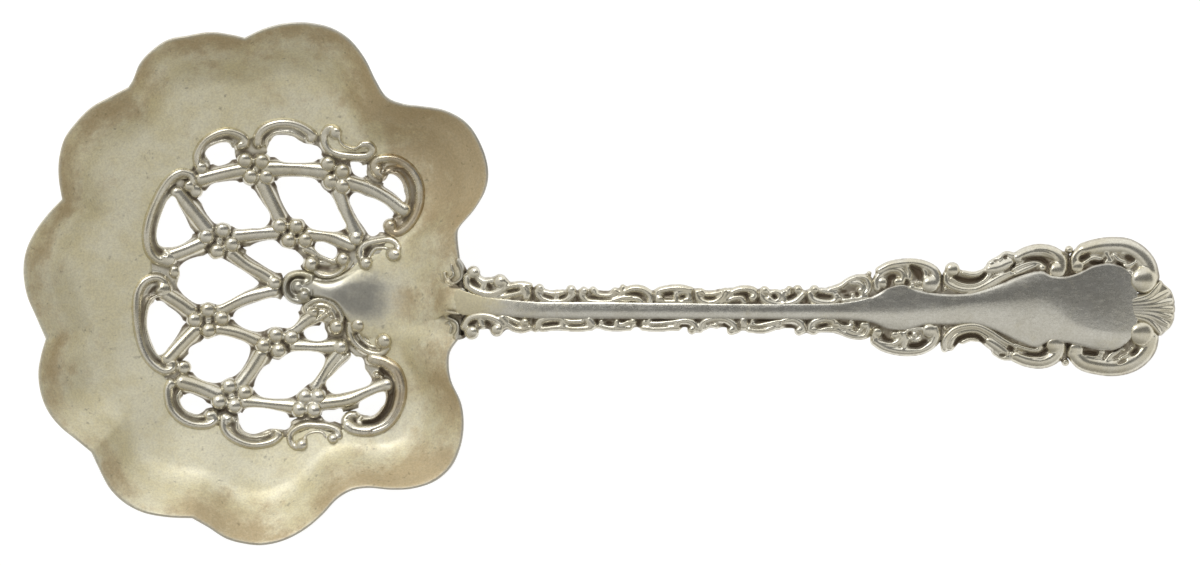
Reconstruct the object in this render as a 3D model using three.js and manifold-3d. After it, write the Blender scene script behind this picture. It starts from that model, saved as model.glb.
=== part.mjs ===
// A bonbon spoon of worn silver: a wide lobed bowl whose floor is pierced as a trellis of bars
// and bead clusters inside a ring of scrolls, and a handle edged with small scrolls that widens
// to a crowned panel and ends in a fluted shell. Every element is drawn from above in mm, with
// +X towards the tip of the handle, and is then laid on the spoon's curved sheet.
import * as THREE from 'three';
import { mergeVertices } from 'three/addons/utils/BufferGeometryUtils.js';
import Module from 'manifold-3d';

const wasm = await Module();
wasm.setup();

// Metal
const bowl_gauge = 0.9; // thickness of the bowl's sheet
const handle_gauge = 1.9; // thickness of the handle's sheet
const joint_gap = 0.3; // gap between neighbouring elements
const rest_flat = 0.15; // depth of the flat worn where the bowl rests

// Dish of the bowl
const bowl_middle_x = -37;
const bowl_middle_y = 0;
const rim_height = 7.8; // lip above the table
const floor_dish = 2.4; // rise of the floor from its middle to the foot of the wall
const wall_width = 4.2; // width of the fluted wall, seen from above

// Arch of the handle
const heel_x = -15.2; // where the handle leaves the bowl
const tip_x = 62;
const axis_y = -2.75;
const crest_x = 13;
const crest_height = 12.4; // face of the handle at the top of its arch
const tip_height = 1.6; // face of the handle at its tip
const handle_camber = 0.012; // fall of the face for each square mm off the axis

// Relief above the sheet
const bar_width = 1.2;
const bar_rise = 0.6;
const scroll_width = 1.0;
const scroll_rise = 0.9;
const bead_rise = 1.0;
const hub_radius = 0.9; // web that joins a cluster's four beads
const hub_rise = 0.4;
const drop_rise = 0.9; // tongue on the bowl's floor, at its volute
const drop_heel_rise = 1.7; // the same tongue where it meets the handle
const stem_crown = 0.6;
const border_rise = 0.25; // ground between the handle's scrolls
const chain_width = 0.6;
const chain_rise = 0.7;
const great_width = 1.2; // the large scrolls at the end of the handle
const great_rise = 1.1;
const rib_width = 0.8;
const rib_rise = 0.5;
const shell_crown = 0.3;

// Fineness
const outline_step = 2.8;
const stroke_step = 1.7;
const bead_sides = 6;
const tall_low = -5; // the reach of a cutter below and above the spoon
const tall_high = 30;
const slope_probe = 0.2;

// Outline of the bowl, from the upper side of the heel round to its lower side. Each row is one
// smooth stretch, and the rows meet in the sharp notches of the left half.
const lobes = [
  [[-15.2, 2.3], [-15.3, 5.2], [-13.5, 7.9], [-12.05, 11.3], [-12.7, 14.7], [-15.3, 17.8], [-19.3, 19.05],
    [-22.6, 19.85], [-24.6, 22.8], [-27.5, 26.6], [-31.8, 28.15], [-36.2, 27.3], [-38.2, 26.4]],
  [[-38.2, 26.4], [-41.5, 27.0], [-45.6, 26.4], [-48.9, 24.4], [-50.7, 21.07]],
  [[-50.7, 21.07], [-54, 19.4], [-57, 16.5], [-58.3, 12.6], [-57.85, 9]],
  [[-57.85, 9], [-60.6, 5.8], [-62, 1.5], [-61.3, -2.3], [-59.6, -6]],
  [[-59.6, -6], [-60.4, -9.7], [-59.7, -13.3], [-57.5, -16], [-54.7, -18.2]],
  [[-54.7, -18.2], [-53.3, -21.2], [-50.7, -24], [-47.5, -25.1], [-43.85, -25.3]],
  [[-43.85, -25.3], [-40.5, -27.4], [-36.5, -28.15], [-32.3, -26.8], [-29, -24.1], [-25.5, -22.05],
    [-20.5, -22.2], [-16.5, -20.4], [-14.7, -16.2], [-15.6, -11.3], [-16.2, -8], [-15.2, -5.8]],
];

// Edge of the pierced field. It runs under the ring of scrolls and round the tongue.
const field_edge = [
  [-44.4, 11.5], [-43.2, 13.4], [-42.6, 15.2], [-40.2, 16.3], [-38.2, 15.6], [-36.8, 15.9], [-34.4, 17.1],
  [-31.6, 16.3], [-30, 16], [-29.4, 14.4], [-27, 13.6], [-24.6, 13.9], [-23.9, 13.9], [-21.8, 13.3], [-20, 11.9],
  [-19.3, 9.6], [-19.9, 7.2], [-21.8, 5.4], [-22.4, 4.6], [-24.4, 4.2], [-24.9, 1.6], [-27.8, 0.3], [-31, -0.2],
  [-31, -0.9], [-28.4, -1.5], [-26.2, -3.5], [-25.6, -5.2], [-24.9, -6.4], [-24.3, -6.7], [-24.3, -8.6],
  [-22.4, -9], [-21.3, -11], [-21.5, -13.4], [-23, -15.3], [-25.4, -15.7], [-27.4, -15.2], [-28.6, -15.8],
  [-31, -15.2], [-33.2, -15.8], [-34.4, -16.8], [-37.4, -17.4], [-39.6, -16.5], [-40.4, -15], [-43, -15.2],
  [-45.6, -14.3], [-46.4, -12.4], [-46.2, -10.6], [-48.2, -8.6], [-49.7, -5.8], [-50, -2.4], [-49, 0.2],
  [-47.2, 1.2], [-48.2, 2.6], [-49.05, 4.2], [-48.8, 7], [-47.4, 10], [-46, 11.5],
];

// The ring of scrolls round the pierced field, clockwise from the left, each with the knobs
// (x, y, radius) at its ends.
const ring_scrolls = [
  { line: [[-44.4, 11.6], [-46.2, 11.3], [-48, 9], [-49, 6], [-48.9, 4], [-47.9, 2.8]],
    knobs: [[-44.3, 10.8, 0.8], [-47, 2.8, 0.7]] },
  { line: [[-43.2, 13.2], [-42.9, 14.9], [-41.7, 16], [-40.2, 16.3], [-38.8, 15.9]],
    knobs: [[-43, 12.9, 0.55], [-38.7, 15.3, 0.6]] },
  { line: [[-36.9, 15.9], [-35.3, 16.9], [-33.4, 17.1], [-31.7, 16.4]],
    knobs: [[-36.9, 15.5, 0.55], [-31.4, 15.8, 0.55]] },
  { line: [[-29.5, 16.3], [-29.8, 15.1], [-28.5, 13.9], [-26.6, 13.5], [-25.2, 13.7]],
    knobs: [[-29, 16.4, 0.75], [-24.9, 14.4, 0.65]] },
  { line: [[-23.7, 13.2], [-22.1, 13.3], [-20.4, 12.3], [-19.4, 10.4], [-19.5, 8.2], [-20.6, 6.3], [-22, 5.7]],
    knobs: [[-23.6, 12.3, 0.8], [-22.5, 6.2, 0.6]] },
  { line: [[-25.4, 3.3], [-24.5, 4.3], [-22.7, 4.3]],
    knobs: [[-25.3, 2.6, 0.7], [-22.2, 3.6, 0.85]] },
  { line: [[-30.9, 2.0], [-30.2, 1.2], [-29.2, 0.9], [-28.2, 1.4], [-27.7, 2.2]],
    knobs: [[-31.1, 2.3, 0.85], [-27.6, 2.5, 0.75]] },
  { line: [[-31.2, -3.1], [-30.2, -2.3], [-29, -2.6], [-28.3, -3.6], [-28.5, -4.4]],
    knobs: [[-31.2, -3.2, 0.7], [-28.6, -4.6, 0.75]] },
  { line: [[-26.6, -5.0], [-26.2, -6.2], [-25.2, -6.9], [-24, -6.8]],
    knobs: [[-26.3, -4.9, 0.8], [-23.6, -6.4, 0.85]] },
  { line: [[-24.4, -8.7], [-22.7, -9.1], [-21.5, -10.6], [-21.4, -12.9], [-22.4, -14.8], [-24.5, -15.7],
    [-26.4, -15.5]], knobs: [[-24.4, -8.8, 0.6], [-26.9, -14.8, 0.8]] },
  { line: [[-33.1, -16.4], [-32.2, -15.6], [-30.7, -15.4], [-29.3, -15.9]],
    knobs: [[-32.6, -17, 0.9], [-28.9, -16.4, 0.7]] },
  { line: [[-40.1, -15.2], [-39.8, -16.3], [-38.6, -17.1], [-36.8, -17.3], [-35.5, -16.8]],
    knobs: [[-40, -14.8, 0.55], [-35.4, -16.3, 0.6]] },
  { line: [[-46, -11.2], [-46.2, -12.9], [-45.3, -14.4], [-43.6, -15.1], [-42, -14.9]],
    knobs: [[-45.8, -11, 0.6], [-41.9, -14.5, 0.6]] },
  { line: [[-47.4, 0.3], [-49, 0], [-49.9, -1.8], [-49.9, -4.8], [-49.1, -7.5], [-47.5, -9]],
    knobs: [[-47, -0.3, 0.75], [-46.8, -8.7, 0.7]] },
];

// The trellis's clusters: the places of four beads each.
const cluster_beads = [
  [[-38.3, 13.1], [-36.5, 13.1], [-37.7, 11.5], [-36, 11.4]],
  [[-29.4, 12.5], [-27.8, 12.0], [-29.1, 10.9], [-27.7, 10.4]],
  [[-42.5, 5], [-40.8, 5.7], [-39.8, 4.2], [-41.3, 3.5]],
  [[-34.6, 6.2], [-32.9, 6.1], [-33.6, 4.6], [-31.9, 4.7]],
  [[-43.7, -4.1], [-42.3, -2.8], [-42.2, -5.1], [-40.9, -3.9]],
  [[-36.2, -6.8], [-35, -5.6], [-34.7, -7.4], [-33.4, -6]],
  [[-41, -12.6], [-40, -11.1], [-39.4, -13.3], [-38.4, -11.8]],
  [[-32, -12.2], [-30.5, -12.2], [-32.5, -13.6], [-31, -13.6]],
];
const cluster_bead_radius = 0.9;

// The trellis's bars, from one cluster, scroll or bead to the next. A bar may carry a bead.
const bars = [
  { line: [[-44, 11], [-40.6, 11.9], [-37.1, 12.3]] },
  { line: [[-37.1, 12.3], [-32.7, 12.3], [-28.5, 11.5]] },
  { line: [[-46.2, 11], [-44.2, 8.2], [-41.1, 4.6]] },
  { line: [[-37.1, 12.3], [-35.4, 8.9], [-33.2, 5.4]] },
  { line: [[-28.5, 11.5], [-27.5, 7.9], [-26.5, 5]], bead: [-26.4, 5, 0.8] },
  { line: [[-28.5, 11.5], [-25, 10.1], [-20.2, 7.2]] },
  { line: [[-47.3, 2.8], [-44.5, 3.9], [-41.1, 4.6]] },
  { line: [[-41.1, 4.6], [-37.2, 5.3], [-33.2, 5.4]] },
  { line: [[-41.1, 4.6], [-38.2, 2], [-35.2, 0]], bead: [-35.2, 0, 0.75] },
  { line: [[-33.2, 5.4], [-29.5, 5.2], [-26.5, 4.9]] },
  { line: [[-32.4, 4.4], [-30.4, 3.3], [-28.2, 2.9]] },
  { line: [[-47.2, -0.6], [-45, -2.4], [-42.2, -3.9]] },
  { line: [[-47.2, -8.6], [-44.9, -6.3], [-42.2, -3.9]] },
  { line: [[-42.2, -3.9], [-38.6, -1.8], [-35.2, -0.2]] },
  { line: [[-42.2, -3.9], [-38.4, -5.6], [-34.8, -6.4]] },
  { line: [[-34.8, -6.4], [-37.7, -9.3], [-39.7, -12.2]] },
  { line: [[-46, -11], [-43, -11.5], [-39.7, -12.2]] },
  { line: [[-39.7, -12.2], [-35.5, -13.1], [-31.5, -12.9]] },
  { line: [[-34.8, -6.4], [-31.5, -6.9], [-28.2, -6.9]], bead: [-28.2, -6.9, 0.8] },
  { line: [[-28.2, -6.9], [-29.8, -9.8], [-31.5, -12.9]] },
  { line: [[-31.5, -12.9], [-27, -12.3], [-21.7, -10.9]] },
  { line: [[-34.1, -6.2], [-32.8, -4.9], [-31.4, -3.6]] },
];

// The tongue from the heel down to the bowl's floor, with its volute
const drop_upper = [[-31.2, 0.1], [-29.4, -0.1], [-27.8, 0.5], [-26.2, 1.5], [-23.6, 2.1], [-20, 1.2], [-15.5, -0.5]];
const drop_lower = [[-31.2, -1.0], [-30, -1.2], [-28.4, -1.7], [-27.3, -2.9], [-25.6, -3.9], [-23.6, -4.8],
  [-20, -4.3], [-15.5, -3.1]];
const volute_line = [[-30.7, -0.4], [-31.6, 0.4], [-32.7, 0.8], [-33.7, 0.2], [-33.9, -0.9], [-33, -1.8]];
const volute_knob = [-32.3, -1.1, 0.75];

// The handle's stem and panel, upper and lower edge
const stem_upper = [[-14.9, -0.7], [-12.5, -1.5], [-7, -2.1], [20, -2.2], [27, -1.9], [30, -0.9], [32.5, -0.3],
  [34.5, -0.8], [37, -1.1], [40, -0.9], [43, 0.3], [46, 1.6], [48, 1.9], [50.4, 2.4], [52.5, 3.6], [56, 3.9],
  [57, 2.5], [57.6, 0.6], [57.7, -1.4]];
const stem_lower = [[-14.9, -3.1], [-11, -3.5], [-7, -3.7], [26, -3.8], [29, -4.2], [31, -4.9], [33, -4.9],
  [35, -4.5], [40, -4.5], [43, -5.3], [46, -6.6], [48, -7.1], [50.4, -7.5], [52.5, -8.4], [56, -8.6], [57, -7.3],
  [57.6, -5.9], [57.7, -4.2]];

// Ground of the borders on both sides of the stem: their outer edges
const chain_upper = [[-14.8, 0.6], [-13.6, 0.5], [-12.4, -0.1], [-11, -0.2], [-9, -0.6], [-7, -0.7], [-5, -1.1],
  [2.4, -0.9], [5.7, -1.1], [12, -1.1], [15, -0.7], [19, -1.1], [24, -0.8], [26, -0.2], [27.8, 0.5], [28.9, 0.4]];
const chain_lower = [[-14.8, -5.2], [-12.5, -4.8], [-9, -4.9], [-7, -4.9], [-5, -4.7], [2, -4.9], [5, -4.8],
  [9, -4.8], [12, -4.7], [15, -4.9], [22, -5], [25, -5], [27, -5.7], [28.9, -6]];
// Small scrolls along each border: start, end, and whether they open outwards
const chain_upper_arcs = [[-14.3, -10.4, true], [-6.8, -2.7, true], [-2.1, 2.2, true], [2.6, 5.5, false],
  [6, 9.9, false], [10.3, 13.6, true], [13.9, 16.8, false], [17.4, 22, true], [22.4, 25.4, true],
  [25.8, 28.9, false]];
const chain_lower_arcs = [[-14.5, -10.5, true], [-6.8, -2.2, true], [-1.3, 3.6, false], [4.4, 9.9, false],
  [10.6, 14.8, true], [15.2, 18.6, false], [18.9, 21.9, true], [22.3, 25.4, true], [25.7, 28.8, false]];
const heel_knobs_upper = [[-13.6, 0.9, 0.7], [-10.9, 0.1, 0.65]];
const heel_knobs_lower = [[-13.8, -5.2, 0.7], [-11, -5, 0.65]];

// Scrolls of the handle's shoulder, neck and head. A scroll with a ground has an outer edge.
const head_scrolls = [
  { name: 'shoulder_scroll_upper', outer: [[29.5, 1], [31.2, 1.7], [33.4, 2.2], [35.4, 1.9], [36.4, 0.8]],
    inner: [[29.5, -0.7], [31, 0], [32.6, 0.2], [34.6, -0.5], [36.4, -0.6]], width: 0.9,
    line: [[29.9, 0.2], [30.6, 1.2], [32.2, 2], [34.2, 2], [35.7, 1.2], [36.1, 0.1]],
    knobs: [[30.2, -0.1, 0.65], [35.6, -0.2, 0.8]] },
  { name: 'shoulder_scroll_lower', outer: [[29.5, -5.2], [31, -5.5], [32.6, -5.5], [34.6, -5.1], [36.3, -5]],
    inner: [[29.5, -6.5], [31.2, -7], [33.4, -7.4], [35.4, -6.8], [36.3, -5.9]], width: 0.9,
    line: [[29.8, -5.7], [30.8, -6.7], [32.6, -7.2], [34.4, -6.9], [35.7, -5.9]],
    knobs: [[30, -5.5, 0.6], [35.5, -5.2, 0.75]] },
  { name: 'neck_scroll_upper', outer: [[37.1, 1.3], [39.4, 1.2], [41, 1.3], [42.6, 2.2], [44.3, 2.9]],
    inner: [[37.1, 0.2], [38.6, -0.5], [40.4, -0.5], [42.2, 0.4], [44.3, 1.5]], width: 0.8,
    line: [[37.7, 1], [38, 0], [39.4, -0.4], [41, -0.1], [42.6, 0.9], [44, 1.8]], knobs: [[38, 1.4, 0.8]] },
  { name: 'neck_scroll_lower', outer: [[37, -5.9], [38.6, -5], [40.4, -4.9], [42.2, -5.6], [44.3, -6.5]],
    inner: [[37, -6.8], [39.4, -6.3], [41, -6.4], [42.6, -7.4], [44.3, -7.9]], width: 0.8,
    line: [[37.4, -6.4], [37.9, -5.6], [39.3, -5], [41, -5.3], [42.6, -6.2], [44, -7]],
    knobs: [[37.6, -6.7, 0.75]] },
  { name: 'crest_scroll_upper', width: great_width, line: [[45.2, 2.9], [46.6, 3.4], [48.1, 3.4], [49.3, 2.6]],
    knobs: [[49.1, 1.9, 1.1]] },
  { name: 'crest_scroll_lower', width: great_width,
    line: [[45.1, -8.1], [46.5, -8.4], [48, -8.2], [49, -7.5]], knobs: [[48.8, -6.9, 1.1]] },
  { name: 'end_scroll_upper', width: great_width,
    line: [[51.6, 2.6], [52.4, 3.8], [54.2, 4.4], [56.3, 4.35], [58.2, 3.4], [59.3, 1.9]],
    knobs: [[51.7, 2, 0.9], [58.8, 0.5, 1.5]] },
  { name: 'end_scroll_lower', width: great_width,
    line: [[51.5, -8], [52.6, -8.8], [54.4, -9.35], [56.4, -9.2], [58.2, -8.3], [59.2, -6.9]],
    knobs: [[51.5, -7.3, 0.9], [58.6, -5.7, 1.5]] },
];

// The shell at the tip
const shell_upper = [[58, -1.5], [59.2, -1.2], [60.2, -0.4], [61.2, -0.2], [61.8, -1.2], [tip_x, -2.4]];
const shell_lower = [[58, -4.2], [59.2, -4.3], [60.2, -5], [61.2, -5.1], [61.8, -4.1], [tip_x, -3.1]];
const shell_root = [56.5, axis_y];
const shell_ribs = [[61, -0.6], [61.5, -1.7], [61.7, axis_y], [61.5, -3.8], [61, -4.8]];

// Colours seen in the photograph
const gilt = { color: 0xb2a884, roughness: 0.35, metalness: 1 };
const silver = { color: 0xc9c6b8, roughness: 0.28, metalness: 1 };
const stem_silver = { color: 0xbdbab0, roughness: 0.22, metalness: 1 };

// A smooth line through points, cut into even steps
function smooth(points, step) {
  const curve = new THREE.SplineCurve(points.map(([x, y]) => new THREE.Vector2(x, y)));
  return curve.getSpacedPoints(Math.max(3, Math.ceil(curve.getLength() / step)));
}

const rim = lobes.flatMap((lobe) => smooth(lobe, outline_step).slice(0, -1));
rim.push(new THREE.Vector2(...lobes.at(-1).at(-1)));
const rim_turns = rim.map(turnOf);

// Angle of a point round the bowl's middle, from 0 to one full turn
function turnOf(point) {
  const turn = Math.atan2(point.y - bowl_middle_y, point.x - bowl_middle_x);
  return (turn + 2 * Math.PI) % (2 * Math.PI);
}

// Distance from the bowl's middle to its rim in the direction of a point
function rimReach(x, y) {
  const turn = turnOf({ x, y });
  const next = rim_turns.findIndex((other) => other > turn);
  const b = next < 0 ? 0 : next;
  const a = (b + rim.length - 1) % rim.length;
  const along = new THREE.Vector2(Math.cos(turn), Math.sin(turn));
  const edge = rim[b].clone().sub(rim[a]);
  const from = new THREE.Vector2(rim[a].x - bowl_middle_x, rim[a].y - bowl_middle_y);
  return from.cross(edge) / along.cross(edge);
}

// Height of the bowl's inner face at a distance r from its middle, where the rim is at reach
function dishHeight(r, reach) {
  const foot = reach - wall_width;
  const lift = rim_height - bowl_gauge + rest_flat - floor_dish * (reach / foot) ** 2;
  const climb = THREE.MathUtils.clamp((r - foot) / wall_width, 0, 1);
  return bowl_gauge - rest_flat + floor_dish * (r / foot) ** 2 + lift * climb * climb * (3 - 2 * climb);
}

// The handle's sheet at a place: its upper face and its underside
function handleSheet(x, y) {
  const fall = (crest_height - tip_height) / (tip_x - crest_x) ** 2;
  const face = crest_height - fall * (x - crest_x) ** 2 - handle_camber * (y - axis_y) ** 2;
  return { face, under: Math.max(0, face - handle_gauge) };
}

// The bowl's sheet at a place
function bowlSheet(x, y) {
  const reach = rimReach(x, y);
  const r = Math.min(Math.hypot(x - bowl_middle_x, y - bowl_middle_y), reach);
  const face = dishHeight(r, reach);
  const slope = (dishHeight(r + slope_probe, reach) - dishHeight(Math.max(0, r - slope_probe), reach))
    / (2 * slope_probe);
  return { face, under: Math.max(0, face - bowl_gauge * Math.hypot(1, slope)) };
}

// Lays a flat drawing on a sheet: a height of -1 is the underside, 0 the face, more is relief
function lay(geometry, sheet) {
  const place = geometry.attributes.position;
  for (let i = 0; i < place.count; i += 1) {
    const { face, under } = sheet(place.getX(i), place.getY(i));
    const height = place.getZ(i);
    place.setZ(i, height > 0 ? face + height : face + height * (face - under));
  }
  return geometry;
}

// A closed body for joining and cutting
function solid(geometry) {
  geometry.deleteAttribute('normal');
  geometry.deleteAttribute('uv');
  const merged = mergeVertices(geometry, 1e-5);
  return new wasm.Manifold(new wasm.Mesh({
    numProp: 3,
    vertProperties: new Float32Array(merged.attributes.position.array),
    triVerts: new Uint32Array(merged.index.array),
  }));
}

function joined(solids) {
  return solids.reduce((whole, piece) => whole.add(piece));
}

// A body through rings of equal numbers of points, closed by a fan at each end
function loft(rings) {
  const size = rings[0].length;
  const index = [];
  for (let r = 0; r + 1 < rings.length; r += 1) {
    for (let i = 0; i < size; i += 1) {
      const a = r * size + i;
      const b = r * size + ((i + 1) % size);
      index.push(a, b, b + size, a, b + size, a + size);
    }
  }
  const last = (rings.length - 1) * size;
  for (let i = 1; i + 1 < size; i += 1) {
    index.push(0, i + 1, i, last, last + i, last + i + 1);
  }
  const geometry = new THREE.BufferGeometry();
  geometry.setAttribute('position', new THREE.Float32BufferAttribute(rings.flat(2), 3));
  geometry.setIndex(index);
  return geometry;
}

// Section of a rounded strip between its left and right edge: share across, share of the rise
const strip_section = [[0, 0.4], [0.5, 1], [1, 0.4]];

function stripRing([left, right, rise]) {
  const across = (share) => [left[0] + share * (right[0] - left[0]), left[1] + share * (right[1] - left[1])];
  return [[...across(0), -1], ...strip_section.map(([share, up]) => [...across(share), up * rise]),
    [...across(1), -1]];
}

function wallRing([left, right]) {
  return [[...left, tall_low], [...left, tall_high], [...right, tall_high], [...right, tall_low]];
}

// Left and right edge of a stroke of some width along a line
function strokeEdges(line, width, step) {
  const points = smooth(line, step);
  return points.map((point, i) => {
    const ahead = points[Math.min(i + 1, points.length - 1)];
    const back = points[Math.max(i - 1, 0)];
    const side = ahead.clone().sub(back).normalize().multiplyScalar(width / 2);
    return [[point.x - side.y, point.y + side.x], [point.x + side.y, point.y - side.x]];
  });
}

function stroke(line, width, rise, sheet) {
  const rings = strokeEdges(line, width, stroke_step).map(([l, r]) => stripRing([l, r, rise]));
  return solid(lay(loft(rings), sheet));
}

// A domed bead that reaches down to the underside
function bead([x, y, radius], rise, sheet) {
  const profile = [[0, -1], [radius, -1], [radius, 0.35 * rise], [0.6 * radius, 0.85 * rise], [0, rise]];
  const dome = new THREE.LatheGeometry(profile.map(([r, h]) => new THREE.Vector2(r, h)), bead_sides);
  dome.rotateX(Math.PI / 2).translate(x, y, 0);
  return solid(lay(dome, sheet));
}

// Upright cutters that keep a gap clear round a stroke, a bead or a strip
function strokeCutter(line, width) {
  const wide = width + 2 * joint_gap;
  const ends = [line[0], line.at(-1)].map((end) => beadCutter([...end, width / 2]));
  return joined([solid(loft(strokeEdges(line, wide, stroke_step).map(wallRing))), ...ends]);
}

function beadCutter([x, y, radius]) {
  const post = new THREE.CylinderGeometry(radius + joint_gap, radius + joint_gap, tall_high - tall_low, bead_sides);
  post.rotateX(Math.PI / 2).translate(x, y, (tall_high + tall_low) / 2);
  return solid(post);
}

// Pairs of edge points of a strip between two lines, at steps along X
function stripEdges(upper, lower, spread) {
  const start = Math.max(upper[0][0], lower[0][0]);
  const end = Math.min(upper.at(-1)[0], lower.at(-1)[0]);
  const count = Math.ceil((end - start) / outline_step);
  const stations = Array.from({ length: count + 1 }, (_, i) => start + ((end - start) * i) / count);
  return stations.map((x) => [[x, edgeAt(upper, x) + spread], [x, edgeAt(lower, x) - spread]]);
}

function edgeAt(edge, x) {
  const next = edge.findIndex((point) => point[0] >= x);
  if (next <= 0) {
    return next < 0 ? edge.at(-1)[1] : edge[0][1];
  }
  const [ax, ay] = edge[next - 1];
  const [bx, by] = edge[next];
  return ay + ((by - ay) * (x - ax)) / (bx - ax);
}

function strip(upper, lower, riseAt, sheet) {
  const rings = stripEdges(upper, lower, 0).map(([l, r]) => stripRing([l, r, riseAt(l[0])]));
  return solid(lay(loft(rings), sheet));
}

function stripCutter(upper, lower) {
  const rings = stripEdges(upper, lower, joint_gap);
  for (const end of [rings[0], rings.at(-1)]) {
    const outward = end === rings[0] ? -joint_gap : joint_gap;
    end.forEach((point) => { point[0] += outward; });
  }
  return solid(loft(rings.map(wallRing)));
}

function prism(outline) {
  const shape = new THREE.Shape(outline.map(([x, y]) => new THREE.Vector2(x, y)));
  const block = new THREE.ExtrudeGeometry(shape, { depth: tall_high - tall_low, bevelEnabled: false });
  return solid(block.translate(0, 0, tall_low));
}

const spoon = new THREE.Group();
const keepers = []; // cutters of the pieces made so far

// Cuts a body clear of the pieces before it, and adds it to the spoon
function place(name, body, cutter, finish) {
  const box = body.boundingBox();
  const near = keepers.filter((keeper) => touches(box, keeper.box));
  const cut = near.reduce((rest, keeper) => rest.subtract(keeper.cutter), body);
  if (cutter) {
    keepers.push({ cutter, box: cutter.boundingBox() });
  }
  const mesh = cut.getMesh();
  const geometry = new THREE.BufferGeometry();
  geometry.setAttribute('position', new THREE.BufferAttribute(mesh.vertProperties, 3));
  geometry.setIndex(new THREE.BufferAttribute(mesh.triVerts, 1));
  geometry.computeVertexNormals();
  const piece = new THREE.Mesh(geometry, new THREE.MeshStandardMaterial(finish));
  piece.name = name;
  spoon.add(piece);
}

function touches(a, b) {
  return [0, 1].every((axis) => a.min[axis] < b.max[axis] && b.min[axis] < a.max[axis]);
}

function numbered(name, i) {
  return `${name}_${String(i + 1).padStart(2, '0')}`;
}

function addClusters() {
  cluster_beads.forEach((places, i) => {
    const middle = [0, 1].map((axis) => places.reduce((sum, at) => sum + at[axis], 0) / places.length);
    const beads = places.map((at) => [...at, cluster_bead_radius]);
    const hub = [...middle, hub_radius];
    const body = joined([...beads.map((at) => bead(at, bead_rise, bowlSheet)), bead(hub, hub_rise, bowlSheet)]);
    place(numbered('bead_cluster', i), body, joined([...beads, hub].map(beadCutter)), silver);
  });
}

function addRingScrolls() {
  ring_scrolls.forEach(({ line, knobs }, i) => {
    const body = joined([stroke(line, scroll_width, scroll_rise, bowlSheet),
      ...knobs.map((at) => bead(at, scroll_rise, bowlSheet))]);
    const cutter = joined([strokeCutter(line, scroll_width), ...knobs.map(beadCutter)]);
    place(numbered('ring_scroll', i), body, cutter, silver);
  });
}

function addDrop() {
  const start = drop_upper[0][0];
  const riseAt = (x) => drop_rise + (drop_heel_rise - drop_rise) * ((x - start) / (heel_x - start));
  const body = joined([strip(drop_upper, drop_lower, riseAt, bowlSheet),
    stroke(volute_line, scroll_width, drop_rise, bowlSheet), bead(volute_knob, drop_rise, bowlSheet)]);
  const cutter = joined([stripCutter(drop_upper, drop_lower), strokeCutter(volute_line, scroll_width),
    beadCutter(volute_knob)]);
  place('drop_tongue', body, cutter, gilt);
}

function addBars() {
  bars.forEach(({ line, bead: end }, i) => {
    const parts = [stroke(line, bar_width, bar_rise, bowlSheet)];
    const cutters = [strokeCutter(line, bar_width)];
    if (end) {
      parts.push(bead(end, bead_rise, bowlSheet));
      cutters.push(beadCutter(end));
    }
    place(numbered('trellis_bar', i), joined(parts), joined(cutters), silver);
  });
}

// The bowl's sheet: rings from the rim inwards, on the face and on the underside
function addBowl() {
  const inward = [0, 1, 2.1, 3.1, wall_width];
  const shares = [0.68, 0.4];
  const at = (point, r, reach) => [bowl_middle_x + ((point.x - bowl_middle_x) * r) / reach,
    bowl_middle_y + ((point.y - bowl_middle_y) * r) / reach];
  const rows = rim.map((point) => {
    const reach = Math.hypot(point.x - bowl_middle_x, point.y - bowl_middle_y);
    const radii = [...inward.map((d) => reach - d), ...shares.map((share) => share * reach)];
    return radii.map((r) => at(point, r, reach));
  });
  const depth = rows[0].length;
  const points = [];
  for (const height of [0, -1]) {
    rows.forEach((row) => row.forEach(([x, y]) => points.push([x, y, height])));
    points.push([bowl_middle_x, bowl_middle_y, height]);
  }
  const under = rows.length * depth + 1;
  const index = [];
  rows.forEach((_, i) => {
    const a = i * depth;
    const b = ((i + 1) % rows.length) * depth;
    for (let k = 0; k + 1 < depth; k += 1) {
      index.push(a + k, b + k, b + k + 1, a + k, b + k + 1, a + k + 1);
      index.push(under + a + k, under + b + k + 1, under + b + k, under + a + k, under + a + k + 1,
        under + b + k + 1);
    }
    index.push(a + depth - 1, b + depth - 1, under - 1);
    index.push(under + a + depth - 1, 2 * under - 1, under + b + depth - 1);
    index.push(a, under + a, under + b, a, under + b, b);
  });
  const geometry = new THREE.BufferGeometry();
  geometry.setAttribute('position', new THREE.Float32BufferAttribute(points.flat(), 3));
  geometry.setIndex(index);
  place('bowl', solid(lay(geometry, bowlSheet)).subtract(prism(field_edge)), null, gilt);
}

function addHeadScrolls() {
  for (const { name, outer, inner, line, width, knobs } of head_scrolls) {
    const rise = width === great_width ? great_rise : chain_rise;
    const parts = [stroke(line, width, rise, handleSheet), ...knobs.map((at) => bead(at, rise, handleSheet))];
    const cutters = [strokeCutter(line, width), ...knobs.map(beadCutter)];
    if (outer) {
      parts.push(strip(outer, inner, () => border_rise, handleSheet));
      cutters.push(stripCutter(outer, inner));
    }
    place(name, joined(parts), joined(cutters), silver);
  }
}

function addStem() {
  const body = strip(stem_upper, stem_lower, () => stem_crown, handleSheet);
  place('handle_stem', body, stripCutter(stem_upper, stem_lower), stem_silver);
}

// A small scroll from one place to another along a border, bulging towards or off the stem
function chainArc([from, to, outward], outer, inner) {
  const deep = outward ? inner : outer;
  const high = outward ? outer : inner;
  const spots = [0, 0.25, 0.5, 0.75, 1].map((share) => {
    const x = from + share * (to - from);
    const bow = Math.sin(Math.PI * share);
    const middle = (edge) => edgeAt(edge, x);
    const sunk = 0.75 * middle(deep) + 0.25 * middle(high);
    const raised = 0.25 * middle(deep) + 0.75 * middle(high);
    return [x, raised + bow * (sunk - raised)];
  });
  return stroke(spots, chain_width, chain_rise, handleSheet);
}

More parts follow.
